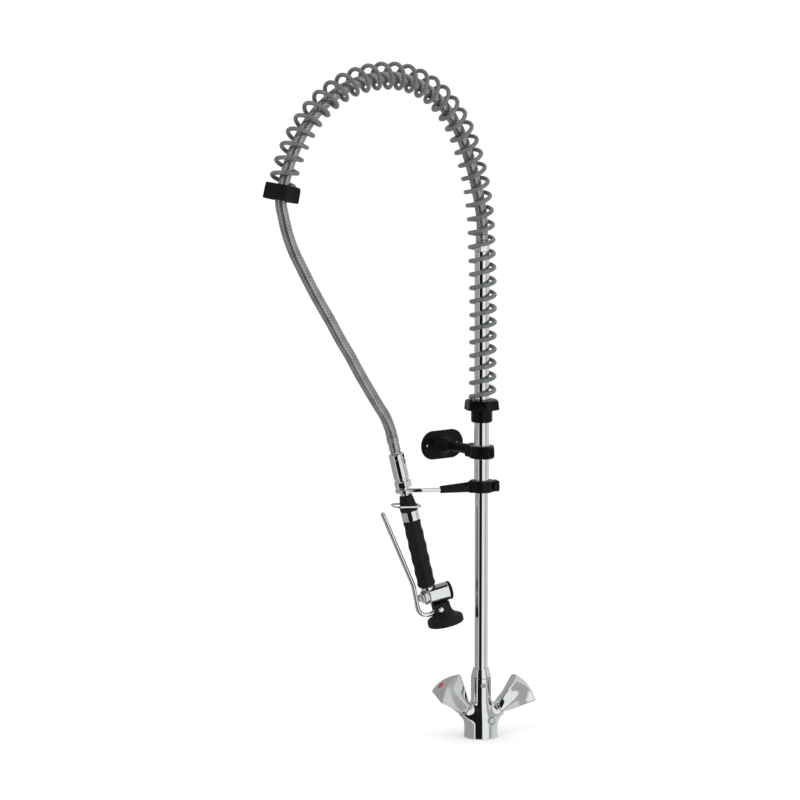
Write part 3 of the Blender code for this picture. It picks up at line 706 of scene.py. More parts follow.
def mesh_from(name, shape):
    """A mesh in metres from a shape in millimetres, which it uses up."""
    bmesh.ops.scale(shape, vec=(MM, MM, MM), verts=shape.verts)
    mesh = bpy.data.meshes.new(name)
    shape.to_mesh(mesh)
    shape.free()
    return mesh


def placed(name, data):
    item = bpy.data.objects.new(name, data)
    bpy.context.collection.objects.link(item)
    return item


def rebuild(node, shape, matrix=None, exact_edges=True, rides=True):
    """Show this finer shape, drawn in millimetres, in place of a CAD node."""
    if matrix is not None:
        moved(shape, matrix)
    bmesh.ops.recalc_face_normals(shape, faces=shape.faces)
    mesh = mesh_from(f"{node}_fine", shape)
    mesh.shade_smooth()
    item = placed(f"{node}_fine", mesh)
    if exact_edges:
        mesh.set_sharp_from_angle(angle=radians(40))
        normals = item.modifiers.new("flat_faces", "WEIGHTED_NORMAL")
        normals.keep_sharp = True
    mesh.materials.append(LOOKS[SLOT_OF[node]])
    if rides:
        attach(item, BODY_OF[node])
    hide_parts(node)
    return item


def rebuild_cast(node, field, low, high, cell, matrix=None):
    rebuild(node, cast(field, low, high, cell), matrix, exact_edges=False)


def hexagon(corners):
    """A radius function for a nut: flats where the outline is as wide as the corners."""
    def reach(radius, height, angle):
        if radius < corners * 0.9:
            return radius
        return radius * min(0.97, polygon_share(angle, 6))
    return reach


def socket_screw(radius, low, high, socket_radius, depth):
    """A headless screw or cap head with a hexagon socket in its top."""
    outline = [
        (radius, low), (radius, high), (socket_radius, high), (socket_radius, high - depth),
        (0.2, high - depth),
    ]

    def reach(at, height, angle):
        if at > socket_radius + 0.01 or at < 0.5:
            return at
        return at * polygon_share(angle, 6)

    return turned(outline, ROUND, False, reach, 0.25)


def make_mixer():
    arms = [np.array(arm_axis(side)) for side in (-1, 1)]
    lift = np.array((0, 0, ARM_HEIGHT), float)

    def body(p):
        radius = np.hypot(p[:, 0], p[:, 1])
        wall = BASE_R - (BASE_R - NECK_R) * smooth_step(p[:, 2], 22, 64)
        side = (radius - wall) * 0.94
        shape = softer_max(side, np.maximum(-p[:, 2], p[:, 2] - NECK_TOP), 1.2)
        lip = drum(p, (0, 0, 0), (0, 0, 3.2), BASE_R + 0.5, 0.8)
        shape = softer_min(shape, lip, 0.8)
        for arm in arms:
            bar = drum(p, lift, lift + arm * ARM_END, ARM_R, 1.3)
            shape = softer_min(shape, bar, 8)
        for arm in arms:
            start, end = lift + arm * HEADWORK_FOOT, lift + arm * (ARM_END + 5.5)
            shape = without(shape, drum(p, start, end, ARM_BORE_R, 0.3), 0.7)
        bore = drum(p, (0, 0, NECK_BORE_Z), (0, 0, NECK_TOP + 13), NECK_BORE_R, 0.3)
        shape = without(shape, bore, 0.7)
        screw = drum(p, (0, -10, SET_SCREW_Z), (0, -22, SET_SCREW_Z), 3.3, 0.2)
        shape = without(shape, screw, 0.6)
        boss = drum(p, eye_point(20), eye_point(28.2), 3.2, 0.8)
        return softer_min(shape, boss, 1.5)

    rebuild_cast("mixer_body", body, (-40, -36, -2), (40, 30, 100), 0.8)
    nut = [(16.3, 97.3), (16.4, 99.6), (15.6, 102), (13.2, 112), (12.6, 113)]
    rebuild("column_nut", sleeve(LOWER_R + 0.6, nut))
    screw = socket_screw(3, 13.4, NECK_R + 0.5, 1.6, 2)
    rebuild("neck_set_screw", screw, axes((0, 0, SET_SCREW_Z), (0, -1, 0)))
    make_chain_eye()


def make_chain_eye():
    """A wire eye for a plug chain, on a stem in the front of the mixer."""
    middle = eye_point(EYE_REACH)
    across = (Vector(EYE_WAY).normalized() + Vector((0.9, 0.3, 0))).normalized() * EYE_R
    tall = Vector((0, 0, EYE_R + 1))
    loop = []
    for k in range(48):
        angle = 2 * pi * k / 48
        loop.append(middle + across * cos(angle) + tall * sin(angle))
    stem = [eye_point(27), eye_point(28.4), middle - across]
    rebuild("chain_eye", merged(swept(loop, 1.3, 16, True), swept(stem, 1.7, 20)))


def knob_rim(angle, lobe_angle):
    """The rim's radius: three dished flats between narrow rounded ridges."""
    off = angle_from_flat(angle, lobe_angle, 3)
    dish = 1 - 0.045 * max(0.0, 1 - (off / (0.28 * pi)) ** 2)
    cut = KNOB_FLAT_R / KNOB_LOBE_R / cos(off) * dish
    return KNOB_LOBE_R * blunted(1, cut, 0.035)


def dome_height(radius):
    return KNOB_TIP + KNOB_RISE * (1 - (radius / KNOB_LOBE_R) ** 2)


def knob_column(rim):
    """The knob's outline at one angle, from the neck over the rim to the index's pocket."""
    side = []
    rows = 30
    for k in range(rows + 1):
        share = 0.975 * k / rows
        radius = KNOB_NECK_R + (rim - KNOB_NECK_R) * share ** 0.9
        side.append(Vector((radius, KNOB_NECK + (dome_height(rim) - KNOB_NECK) * share)))
    dome = []
    for k in range(17):
        radius = INDEX_R + GAP + (rim * 0.955 - INDEX_R - GAP) * (1 - k / 16)
        dome.append(Vector((radius, dome_height(radius))))
    edge = Vector((rim, dome_height(rim)))
    corner = []
    for k in range(1, 6):
        share = k / 6
        corner.append(side[-1].lerp(edge, share).lerp(edge.lerp(dome[0], share), share))
    return side + corner + dome


def knob_shape(lobe_angle):
    shape = bmesh.new()
    bore = [
        (INDEX_R + GAP, KNOB_DOME - 4.5), (2.4, KNOB_DOME - 4.5), (2.4, SPINDLE_TOP + 0.5),
        (SPINDLE_BORE_R, SPINDLE_TOP + 0.5), (SPINDLE_BORE_R, KNOB_NECK),
    ]
    columns = []
    for k in range(KNOB_SIDES):
        angle = 2 * pi * k / KNOB_SIDES
        outline = knob_column(knob_rim(angle, lobe_angle)) + [Vector(point) for point in bore]
        columns.append([shape.verts.new((at.x * cos(angle), at.x * sin(angle), at.y))
                        for at in outline])
    skin(shape, list(zip(*columns)), True)
    return shape


def make_handle(side, name, lobe_angle):
    spot = axes((0, 0, ARM_HEIGHT), arm_axis(side), (0, 0, 1))
    flange = ARM_END + GAP
    headwork = [(HEADWORK_R, HEADWORK_FOOT), (HEADWORK_R, flange), (HEADWORK_R + 3, flange),
                (HEADWORK_R + 3, KNOB_NECK - 0.4)]
    rebuild(f"{name}_headwork", sleeve(SPINDLE_BORE_R, headwork), spot)
    rebuild(f"{name}_knob", knob_shape(lobe_angle), spot)
    lens = [(INDEX_R, -4), (INDEX_R, -1.5), (4.2, -0.7), (2.4, -0.2), (0.3, 0)]
    rebuild(f"{name}_index", turned(raised(lens, KNOB_DOME), ROUND, soft=0.9), spot)


def make_column():
    tubes = [("lower", LOWER_BORE_R, LOWER_R, LOWER_BOTTOM, LOWER_TOP),
             ("upper", UPPER_BORE_R, UPPER_R, UPPER_BOTTOM, UPPER_TOP)]
    for name, bore, radius, low, high in tubes:
        rebuild(f"riser_{name}", sleeve(bore, [(radius, low), (radius, high)], 96))
    seat = UPPER_TOP + GAP
    nut = [(10.6, UPPER_TOP - 13), (10.6, seat), (HOSE_NUT_R, seat), (HOSE_NUT_R, HOSE_TOP_Z - 14)]
    rebuild("hose_top_nut", sleeve(HOSE_BORE_R, nut, FINE, hexagon(HOSE_NUT_R), 0.8))
    crimp = [(10, -13.7), (10, -12), (10.6, -10.5), (10, -9), (10.6, -7), (10, -5), (10.4, 0)]
    rebuild("hose_top_ferrule", sleeve(HOSE_BORE_R, raised(crimp, HOSE_TOP_Z)))


def flat_sided(sides, corner, flat, inner, low, flare):
    """Slightly dished flats with blunt corners that flare at the foot; bores stay round."""
    def reach(radius, height, angle):
        if radius < inner:
            return radius
        off = angle_from_flat(angle, corner, sides)
        dish = 0.5 * cos(off * sides / 2)
        foot = flare * max(0.0, 1 - (height - low) / 7) ** 2
        return blunted(radius, (flat + foot) / cos(off) - dish, 1.0)
    return reach


def make_spring_seat():
    collar = [(15.6, COLLAR_BOTTOM), (17.3, COLLAR_BOTTOM + 2), (17.3, SPRING_NUT_BOTTOM - 0.4)]
    rebuild("spring_collar", sleeve(CLAMP_BORE_R, collar))
    screw = socket_screw(2.3, 12.6, 17.4, 1.2, 1.5)
    rebuild("collar_set_screw", screw, axes((0, 0, 527), (0.6, 0.8, 0)))
    nut = raised([(28.2, 0), (30, 1.4), (29.3, 4), (28.7, 8), (28.5, 11.6), (27.3, 14),
                  (25.2, 15.7), (23, 16)], SPRING_NUT_BOTTOM)
    reach = flat_sided(SPRING_NUT_SIDES, radians(-90), 25, 21, SPRING_NUT_BOTTOM, 1.4)
    rebuild("spring_nut", sleeve(CLAMP_BORE_R, nut, 144, reach, 0.8))


def spring_centre_line():
    """The spring leans a little off the riser, which it doesn't touch."""
    straight = [(1.2, 0, SPRING_START), (1.6, 0, 620), (1.8, 0, 690), (1.1, 0, 750)]
    arch = [in_arch(reach, height) for reach, height in ARCH_LINE]
    return smooth_line(straight + arch, 2.0)


def make_spring():
    """A right-handed coil whose turns follow the riser and then the arch."""
    line = spring_centre_line()
    lengths = running_lengths(line)
    total = lengths[-1] - SPRING_END_TRIM
    binormal = in_arch(1, 0).normalized().cross(Vector((0, 0, 1)))
    upright = UPPER_TOP - SPRING_START
    turns_below = upright / RISER_PITCH
    turns = turns_below + (total - upright) / ARCH_PITCH
    count = round(turns * SPRING_STEPS)
    coil = []
    seek = 0
    for k in range(count + 1):
        turn = turns * k / count
        goal = min(turn, turns_below) * RISER_PITCH + max(0, turn - turns_below) * ARCH_PITCH
        while seek < len(lengths) - 2 and lengths[seek + 1] < goal:
            seek += 1
        here, after = line[seek], line[seek + 1]
        share = (goal - lengths[seek]) / (lengths[seek + 1] - lengths[seek])
        low = (line[seek + 1] - line[max(seek - 1, 0)]).normalized()
        high = (line[min(seek + 2, len(line) - 1)] - line[seek]).normalized()
        along = low.lerp(high, share).normalized()
        normal = along.cross(binormal).normalized()
        angle = 2 * pi * (turn + SPRING_TURN)
        offset = normal * cos(angle) - binormal * sin(angle)
        coil.append(here.lerp(after, share) + offset * SPRING_R)
    rebuild("spring", swept(coil, SPRING_WIRE_R, 18, domed=True), exact_edges=False)


def make_end_collar():
    """The five-sided cup that holds the spring's free end and lets the hose through."""
    end = in_arch(*ARCH_LINE[-1])
    along = (in_arch(*ARCH_LINE[-2]) - end).normalized()
    outline = [
        (27, 0.4), (29, 0), (30.8, 1.6), (30.9, 4), (30.4, 19), (29.6, 22.6), (27.4, 25),
        (22.9, 25), (22.9, 5.6), (17, 5.6), (17, 3.4), (22.5, 3.4), (23.5, 0.6),
    ]
    reach = flat_sided(END_COLLAR_SIDES, radians(70), 24.8, 24, 0, 0.8)
    cup = turned(outline, 120, True, reach, 2.4)
    rebuild("end_collar", cup, axes(end, along, in_arch(1, 0)))


def hose_route():
    """The hose's own line: straight leads at both ends of one smooth curve."""
    route = [in_arch(reach, height) for reach, height in HOSE_ARCH]
    route += [Vector(point) for point in HOSE_FREE]
    route.append(sprayer_point(0, HOSE_END_T - HOSE_LEAD))
    line = smooth_line(route, HOSE_STEP)
    start = Vector((0, 0, HOSE_TOP_Z + GAP))
    end = sprayer_point(0, HOSE_END_T - GAP)
    first, last = line[0], line[-1]
    leads = round(HOSE_LEAD / HOSE_STEP)
    before = [start.lerp(first, k / leads) for k in range(leads)]
    after = [last.lerp(end, k / leads) for k in range(1, leads + 1)]
    return before + line + after


def make_hose():
    """A tube whose skin is two sets of strands, wound opposite ways over and under."""
    line = hose_route()
    heights = []

    def strand_height(k, angle):
        turns = k * HOSE_STEP / (2 * pi * HOSE_R) * 1.15
        left = STRANDS * (angle / (2 * pi) + turns)
        right = STRANDS * (angle / (2 * pi) - turns)
        weave = sin(pi * (left + right) / 2) * sin(pi * (left - right) / 2)
        lobe = abs(sin(pi * left)) if weave > 0 else abs(sin(pi * right))
        height = lobe ** 0.6 * (0.55 + 0.45 * min(1.0, abs(weave) * 1.6))
        heights.append(height)
        return HOSE_R - STRAND_DEPTH * (1 - height)

    shape = swept(line, HOSE_R, HOSE_SIDES, radius_at=strand_height)
    item = rebuild("hose", shape, exact_edges=False, rides=False)
    # the strand heights also drive the braid material's painted shade in its grooves and dips
    braid = item.data.attributes.new("braid", "FLOAT", "POINT")
    braid.data.foreach_set("value", heights)
    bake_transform(item)


def make_bracket():
    out = Vector((-sin(BRACKET_TURN), cos(BRACKET_TURN), 0))
    spot = axes((0, 0, BRACKET_HEIGHT), (0, 0, 1), out)
    bush = [(BUSH_R, -BRACKET_HALF - 1), (BUSH_R, BRACKET_HALF + 1)]
    rebuild("bracket_bush", sleeve(CLAMP_BORE_R, bush), spot)
    half = BRACKET_HALF
    straight = PLATE_HALF_LENGTH - PLATE_HALF_HEIGHT

    def body(p):
        x, y, z = p[:, 0], p[:, 1], p[:, 2]
        ring = drum(p, (0, 0, -half), (0, 0, half), BRACKET_RING_R, 1.8)
        lobe = box(p, (-25, -8.5, -half + 1), (-12, 8.5, half - 1), 4)
        boss = box(p, (8, -12.8, -half), (29.5, 12.8, half), 2.5)
        shape = softer_min(softer_min(ring, lobe, 4), boss, 2)
        tall = 10 - 2 * smooth_step(x, 18, 55) + 8 * smooth_step(x, 78, 102)
        wide = 7 - 2 * smooth_step(x, 18, 55) + 13 * smooth_step(x, 78, 102)
        bar = np.sqrt((y / wide) ** 2 + (z / tall) ** 2) * np.minimum(wide, tall)
        bar = (bar - np.minimum(wide, tall)) * 0.8
        bar = softer_max(bar, np.maximum(14 - x, x - PLATE_DISTANCE + 2), 1)
        shape = softer_min(shape, bar, 5)
        flat = np.hypot(np.maximum(np.abs(y) - straight, 0), z) - PLATE_HALF_HEIGHT
        plate = softer_max(flat, np.abs(x - PLATE_DISTANCE + PLATE_THICKNESS / 2)
                           - PLATE_THICKNESS / 2, 1.6)
        shape = softer_min(shape, plate, 3)
        shape = without(shape, drum(p, (0, 0, -30), (0, 0, 30), BUSH_R + GAP, 0.3), 0.9)
        for y_hole in (-PLATE_HOLE_OFFSET, PLATE_HOLE_OFFSET):
            hole = drum(p, (80, y_hole, 0), (120, y_hole, 0), 2.4, 0.2)
            shape = without(shape, hole, 0.9)
        return without(shape, drum(p, (-13, 0, 0), (-40, 0, 0), 2.8, 0.2), 0.7)

    rebuild_cast("wall_bracket", body, (-30, -45, -26), (108, 45, 26), 0.9, spot)
    screw = socket_screw(2.5, BUSH_R + 0.5, 25.3, 1.4, 2)
    rebuild("bracket_screw", screw, spot @ axes((0, 0, 0), (-1, 0, 0), (0, 1, 0)))


def make_hook():
    middle = HOOK_MIDDLE

    def body(p):
        ring = drum(p, (0, 0, HOOK_BOTTOM), (0, 0, HOOK_TOP), HOOK_RING_R, 1.8)
        arm = tapered_bar(p, (-12, 0, middle - 0.5), (HOOK_ARM_END, 0, HOOK_ROD_Z + 0.3), 8.8, 5.9)
        shape = softer_min(ring, arm, 5)
        ears = box(p, (12, -9.5, HOOK_BOTTOM + 0.8), (28, 9.5, HOOK_TOP - 0.8), 2)
        shape = softer_min(shape, ears, 2)
        shape = without(shape, drum(p, (0, 0, 390), (0, 0, 430), CLAMP_BORE_R, 0.3), 0.9)
        shape = without(shape, box(p, (8, -1.5, 395), (40, 1.5, 430), 0.3), 0.9)
        hole = drum(p, (HOOK_SCREW_X, -20, middle), (HOOK_SCREW_X, 20, middle), 3.3, 0.2)
        shape = without(shape, hole, 0.7)
        rod = drum(p, (HOOK_ARM_END + 14, 0, HOOK_ROD_Z), (-90, 0, HOOK_ROD_Z), 3.45, 0.2)
        return without(shape, rod, 0.7)

    rebuild_cast("hook_clamp", body, (-72, -22, 400), (31, 22, 424), 0.8)
    shank = turned([(3, -9), (3, 9.8)], ROUND)
    head = socket_screw(5, 9.8, 13.4, 2.3, 2.2)
    rebuild("hook_clamp_screw", merged(shank, head), axes((HOOK_SCREW_X, 0, middle), (0, -1, 0)))
    loop_start = radians(35)
    loop_end = radians(310)
    bends = [(HOOK_ARM_END + 13.5, 0, HOOK_ROD_Z), (-80, 0, HOOK_ROD_Z), (-90, 0.4, HOOK_ROD_Z),
             (-104, 2, HOOK_ROD_Z)]
    for k in range(15):
        angle = loop_start + (loop_end - loop_start) * k / 14
        x = HOOK_LOOP_X + HOOK_LOOP_R * cos(angle)
        bends.append((x, HOOK_LOOP_R * sin(angle), HOOK_ROD_Z))
    rebuild("hook_rod", swept(smooth_line(bends, 1.2), HOOK_ROD_R, 28, domed=True),
            exact_edges=False)


def make_hose_end(spot):
    """The crimp, the nut and the swivel sleeve, which hang from the hook with the hose."""
    bead = [(9.3, HOSE_END_T)]
    for k in range(3):
        t = HOSE_END_T + 1.4 + 3.2 * k
        bead += [(9.8, t), (9.8, t + 1), (9, t + 1.8)]
    bead += [(8.8, -80), (8.8, -70), (9.2, -69), (9.2, -67.5), (8, -66)]
    rebuild("hose_ferrule", sleeve(WATER_BORE_R, down(bead)), spot)
    nut = down([(NUT_R, NUT_TOP_T), (NUT_R, SLEEVE_TOP_T - GAP)])
    nut = sleeve(WATER_BORE_R, nut, FINE, hexagon(NUT_R), 0.4)
    rebuild("hose_end_nut", nut, spot)
    outer = [
        (4.4, SLEEVE_TOP_T), (11.2, SLEEVE_TOP_T), (SLEEVE_R, SLEEVE_TOP_T + 1.4),
        (SLEEVE_R, -54), (SLEEVE_R - 0.5, -53.4), (SLEEVE_R - 0.5, -52.4), (SLEEVE_R, -51.8),
        (SLEEVE_R, SLEEVE_HEX_T - 5), (11.4, SLEEVE_HEX_T - 3.4), (11.4, SLEEVE_HEX_T - 1),
        (SLEEVE_HEX_R, SLEEVE_HEX_T + 0.6), (SLEEVE_HEX_R, SLEEVE_BOTTOM_T - 0.4),
        (12.6, SLEEVE_BOTTOM_T), (8, SLEEVE_BOTTOM_T), (8, -8), (9.7, -8), (9.7, -57), (4.4, -57),
    ]

    def six_sided(radius, height, angle):
        if radius < SLEEVE_HEX_R - 0.6:
            return radius
        return radius * min(1, 1.06 * polygon_share(angle + pi / 6, 6))

    tube = turned([(radius, -t) for radius, t in outer], FINE, True, six_sided, 0.4)
    rebuild("swivel_sleeve", tube, spot)


def make_handle_grip(spot):
    tail = [
        (9.2, -55), (9.2, -46), (8.2, -46), (8.2, -43), (9.2, -43), (9.2, -8.6),
        (7.5, -8.3), (7.5, 20), (8.6, 20.3), (8.6, 24),
    ]
    rebuild("inlet_tail", sleeve(WATER_BORE_R, down(tail)), spot)
    cone = [
        (7.8, CONE_TOP_T), (9.8, CONE_TOP_T), (10.6, CONE_TOP_T + 1), (11.4, 14), (12.6, 20),
        (13.4, 25.6), (14.2, 26.4), (14.6, 29), (14.5, BAND_TOP_T - 0.3), (9.3, BAND_TOP_T - 0.3),
        (9.3, 16), (7.8, 16),
    ]
    rebuild("upper_grip", turned(down(cone), FINE, True, soft=0.8), spot)

    def faceted(radius, height, angle):
        if radius < 12:
            return radius
        return radius * min(1, 1.004 * polygon_share(angle, 12))

    band = [
        (13.6, BAND_TOP_T), (14.5, BAND_TOP_T + 0.6), (14.5, GRIP_TOP_T - 1),
        (13.8, GRIP_TOP_T - 0.3),
    ]
    rebuild("grip_band", sleeve(9.7, down(band), 144, faceted, 0.3), spot)
    length = GRIP_END_T - 4 - GRIP_TOP_T
    rows = 60
    grip = [(12.6, GRIP_TOP_T)]
    for k in range(1, rows + 1):
        share = k / rows
        swell = GRIP_WAVE * cos(2 * pi * GRIP_WAVES * share)
        grip.append((GRIP_R + swell, GRIP_TOP_T + length * share))
    grip += [(13.4, GRIP_END_T - 2.6), (12.2, GRIP_END_T - 0.6), (10.6, GRIP_END_T)]

    def flutes(radius, height, angle):
        """Shallow finger hollows that wind a little round the grip."""
        if radius < 12.3:
            return radius
        return radius - 0.28 * (1 + cos(4 * angle + height * 0.09)) / 2

    rebuild("handle_grip", sleeve(9.3, down(grip), 96, flutes, 0.5), spot)


def make_valve(spot):
    """The valve lies across the handle, with its plunger towards the lever."""
    across = spot @ axes((0, 0, -VALVE_T), (1, 0, 0), (0, 0, 1))

    def body(p):
        barrel = drum(p, (0, 0, -32.5), (0, 0, 1.5), VALVE_R, 1)
        waist = drum(p, (0, 0, -5), (0, 0, 8), 11.5, 0.3)
        flange = drum(p, (0, 0, 5), (0, 0, 9.5), 13.2, 0.8)
        shape = softer_min(softer_min(barrel, waist, 0.8), flange, 0.8)
        neck = drum(p, (6, 0, 0), (15.3, 0, 0), 9.5, 0.4)
        shape = softer_min(shape, neck, 1.6)
        return without(shape, drum(p, (0, 0, -24), (0, 0, 20), 7.6, 0.3), 0.7)

    rebuild_cast("valve_body", body, (-18, -18, -40), (18, 18, 12), 0.6, across)
    cap = [(15.2, -32.8), (15.5, -34.1), (14.8, -36.2), (12.4, -37.7), (8, -38.3), (3, -38.5)]
    rebuild("valve_cap", turned(cap, FINE, soft=0.6), across)
    bonnet = [(7.3, -3), (7.3, 9.8), (BONNET_R, 9.8), (BONNET_R, 12), (9.2, 13)]
    rebuild("valve_bonnet", sleeve(4.2, bonnet, FINE, hexagon(BONNET_R)), across)
    stem = [(3.8, -12), (3.8, 15.1), (6.4, 15.2), (6.4, 17.2), (5, 18.2), (0.3, 18.4)]
    rebuild("plunger", turned(stem, ROUND), across)


def make_head(spot):
    head_spot = spot @ axes((HEAD_A, 0, 0), (0, 0, 1), (1, 0, 0))
    lift = np.array((HEAD_A, 0, 0), float)
    heights, radii = zip(*HEAD_OUTLINE)

    def body(p):
        x, y, t = p[:, 0] - lift[0], p[:, 1], -p[:, 2]
        radius = np.hypot(x, y)
        wall = sum(np.interp(t + shift, heights, radii) for shift in (-1.2, 0, 1.2)) / 3
        side = (radius - wall) * 0.72
        shape = softer_max(side, np.maximum(HEAD_TOP_T - t, t - HEAD_END_T), 3.2)
        hollow = drum(p, lift + (0, 0, -240), lift + (0, 0, -225), 25.5, 0.4)
        shape = without(shape, hollow, 0.8)
        block = box(p, (PIVOT_A - 6, -13.4, -212), (-2, 13.4, -HEAD_TOP_T), 2)
        shape = softer_min(shape, block, 2.5)
        slot = box(p, (PIVOT_A - 7.2, -4.2, -214.4), (20, 4.2, -197), 0.4)
        shape = without(shape, slot, 0.8)
        pin = drum(p, (PIVOT_A, -20, -PIVOT_T), (PIVOT_A, 20, -PIVOT_T), PIVOT_R + GAP, 0.2)
        return without(shape, pin, 0.7)

    rebuild_cast("spray_head", body, (-50, -33, -235), (16, 33, -192), 0.75, spot)
    pivot = spot @ axes((PIVOT_A, 0, -PIVOT_T), (0, 1, 0), (1, 0, 0))
    screw = [
        (2.6, -14), (PIVOT_R, -13), (PIVOT_R, 13.6), (4.6, 13.9), (4.5, 15), (3, 16.2),
        (0.3, 16.5),
    ]
    rebuild("lever_pivot_screw", turned(screw, ROUND, soft=0.4), pivot)
    face = turned(down([(25.1, 225.4), (25.1, 228.6), (20, 230), (8, 230.6), (0.4, 230.7)]), FINE)
    nozzles = []
    for count, radius in ((8, 9), (14, 14.5), (20, 20)):
        for k in range(count):
            angle = 2 * pi * k / count
            place = (radius * cos(angle), radius * sin(angle), -229.2)
            nozzle = turned([(1.3, 0), (0.9, 2), (0.5, 2), (0.4, 1)], 16, soft=0.2)
            nozzles.append(moved(nozzle, axes(place, (0, 0, -1))))
    rebuild("spray_face", merged(face, *nozzles), head_spot)
    screw = socket_screw(4, -2.6, 0, 2, 1)
    rebuild("face_screw", screw, head_spot @ axes((0, 0, -233.2), (0, 0, -1)))
    make_lever(pivot)


def make_lever(pivot):
    """A bent bar on an eye round the pivot, drawn in the sprayer's frame about the pivot."""
    eye = turned([(PIVOT_R + GAP, -3.7), (7, -3.7), (7, 3.7), (PIVOT_R + GAP, 3.7)], FINE, True)
    bends = [
        (43.5, 29), (41.8, 39), (37, 67), (32, 96), (27.7, 121), (23.5, 145), (21.9, 156),
        (22, 167), (23, 190), (22.6, 198), (18.8, 204.6), (12, 208.4), (4, 208.8), (-5.4, 206.6),
    ]
    path = [(a - PIVOT_A, t - PIVOT_T, 0) for a, t in bends]
    bar = swept(smooth_line(path, 1.5), LEVER_R, 28, domed=True)
    rebuild("lever", merged(eye, bar), pivot)


def make_lock_ring(spot):
    """A wire loop round the handle's top, hinged on its inner strand."""
    hinge = spot @ axes((RING_A, 0, -RING_T), (0, 1, 0), (1, 0, 0))
    half = 17
    corner = 9
    path = []
    for x, y, start in ((RING_REACH - corner, half - corner, 0), (corner, half - corner, 90),
                        (corner, corner - half, 180), (RING_REACH - corner, corner - half, 270)):
        for k in range(10):
            angle = radians(start + 10 * k)
            path.append(Vector((x + corner * cos(angle), 0, y + corner * sin(angle))))
    turn = Matrix.Rotation(-RING_TILT, 4, "Z")
    ring = swept([turn @ point for point in path], RING_WIRE_R, 18, True)
    rebuild("lock_ring", ring, hinge, exact_edges=False)


# ---------------- studio

def aimed(name, data, place, way):
    """Put a camera or a light at a place in metres, looking along way."""
    item = placed(name, data)
    item.location = place
    item.rotation_mode = "QUATERNION"
    item.rotation_quaternion = way.to_track_quat("-Z", "Y")
    return item


def make_camera():
    level = cos(CAMERA_ELEVATION)
    back = Vector((sin(CAMERA_AZIMUTH) * level, -cos(CAMERA_AZIMUTH) * level,
                   sin(CAMERA_ELEVATION)))
    data = bpy.data.cameras.new("camera")
    data.lens = CAMERA_LENS
    data.sensor_width = CAMERA_SENSOR
    data.clip_end = 100
    place = (Vector(CAMERA_TARGET) + back * CAMERA_DISTANCE) * MM
    bpy.context.scene.camera = aimed("camera", data, place, -back)


def make_floor():
    """A wide pale sheet just under the foot, left out of the chrome's reflections."""
    half = FLOOR_HALF
    mesh = bpy.data.meshes.new("floor")
    corners = [(-half, -half, 0), (half, -half, 0), (half, half, 0), (-half, half, 0)]
    mesh.from_pydata(corners, [], [(0, 1, 2, 3)])
    floor = placed("floor", mesh)
    floor.location.z = -FLOOR_DROP
    floor.visible_glossy = False
    material, nodes, links, shader = new_material("pale_floor")
    speck = noise(nodes, links, 3, 2)
    links.new(two_tone(nodes, links, speck, (0.92, 0.92, 0.92), (0.94, 0.94, 0.94)),
              shader.inputs["Base Color"])
    put(shader, {"Roughness": 0.9, "Specular IOR Level": 0.1})
    mesh.materials.append(material)


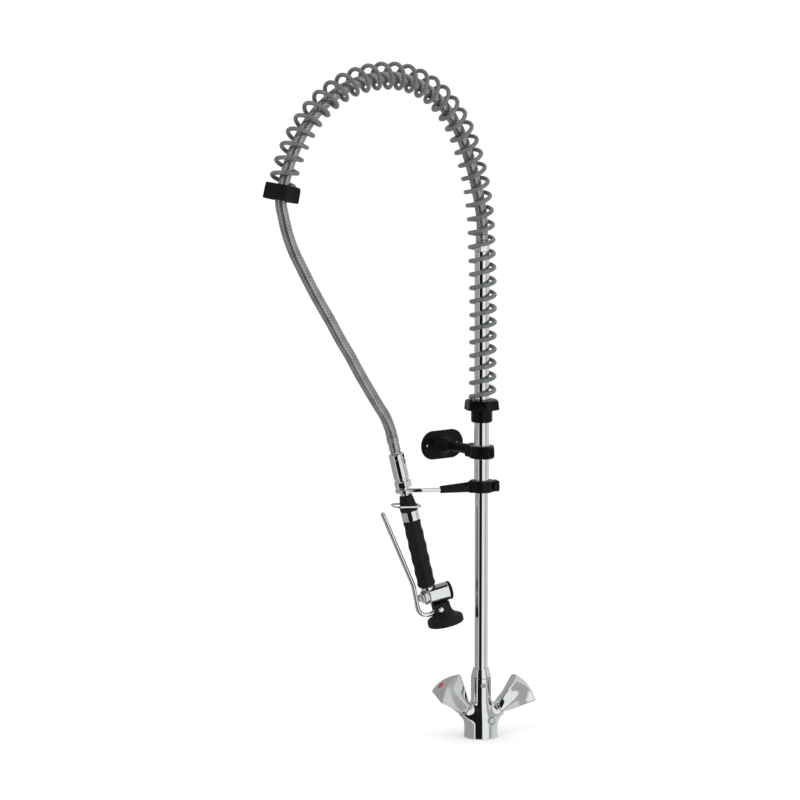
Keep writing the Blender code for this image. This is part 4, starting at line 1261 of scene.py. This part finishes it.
def banded(nodes, links):
    """The tent's bands, as a colour that changes with the direction round the Z axis."""
    place = nodes.new("ShaderNodeTexCoord")
    split = nodes.new("ShaderNodeSeparateXYZ")
    links.new(place.outputs["Object"], split.inputs["Vector"])
    back = nodes.new("ShaderNodeMath")
    back.operation = "MULTIPLY"
    back.inputs[1].default_value = -1
    links.new(split.outputs["Y"], back.inputs[0])
    turn = nodes.new("ShaderNodeMath")
    turn.operation = "ARCTAN2"
    links.new(split.outputs["X"], turn.inputs[0])
    links.new(back.outputs[0], turn.inputs[1])
    share = nodes.new("ShaderNodeMapRange")
    put(share, {"From Min": -pi, "From Max": pi})
    links.new(turn.outputs[0], share.inputs["Value"])
    ramp = nodes.new("ShaderNodeValToRGB")
    stops = ramp.color_ramp.elements
    for k, (degrees, light) in enumerate(TENT_BANDS):
        position = (degrees + 180) / 360
        stop = stops[k] if k < 2 else stops.new(position)
        stop.position = position
        level = light / TENT_STRENGTH
        stop.color = (level * 0.985, level, level * 0.99, 1)
    links.new(share.outputs["Result"], ramp.inputs["Fac"])
    return ramp.outputs["Color"]


def make_tent():
    """Panels all round, seen only in the chrome: black, white and grey from left to right."""
    wall = turned([(TENT_R, TENT_BOTTOM), (TENT_R, TENT_TOP)], 128, soft=0)
    mesh = mesh_from("tent", wall)
    tent = placed("tent", mesh)
    for ray in ("camera", "diffuse", "transmission", "volume_scatter", "shadow"):
        setattr(tent, f"visible_{ray}", False)
    material, nodes, links, shader = new_material("tent")
    put(shader, {"Base Color": (0, 0, 0, 1), "Specular IOR Level": 0.0,
                 "Emission Strength": TENT_STRENGTH})
    links.new(banded(nodes, links), shader.inputs["Emission Color"])
    mesh.materials.append(material)


def make_world():
    """An even white surround, shown without any tone curve."""
    world = bpy.data.worlds.new("studio")
    bpy.context.scene.world = world
    world.use_nodes = True
    put(world.node_tree.nodes["Background"], {"Color": (1, 1, 1, 1), "Strength": WORLD_STRENGTH})
    bpy.context.scene.view_settings.view_transform = "Standard"


def make_lights():
    """Two large soft panels, high on both sides."""
    for name, place, size, power in PANELS:
        data = bpy.data.lights.new(name, "AREA")
        data.size = size
        data.energy = power
        aimed(name, data, place, Vector(PANEL_AIM) - Vector(place))


def finish_cad_nodes():
    """Give every CAD node that still shows its own finish."""
    for node, item in frame["nodes"].items():
        item.data.materials.clear()
        item.data.materials.append(LOOKS[SLOT_OF[node]])


def main():
    make_camera()
    finish_cad_nodes()
    make_hose()
    make_mixer()
    make_handle(-1, "hot", radians(-11))
    make_handle(1, "cold", radians(57))
    make_column()
    make_spring_seat()
    make_spring()
    make_end_collar()
    make_bracket()
    make_hook()
    spot = axes(SPRAYER_ORIGIN, (-sin(SPRAYER_LEAN), 0, cos(SPRAYER_LEAN)),
                (-cos(SPRAYER_LEAN), 0, -sin(SPRAYER_LEAN)))
    make_hose_end(spot)
    make_handle_grip(spot)
    make_valve(spot)
    make_head(spot)
    make_lock_ring(spot)
    make_floor()
    make_tent()
    make_world()
    make_lights()


main()
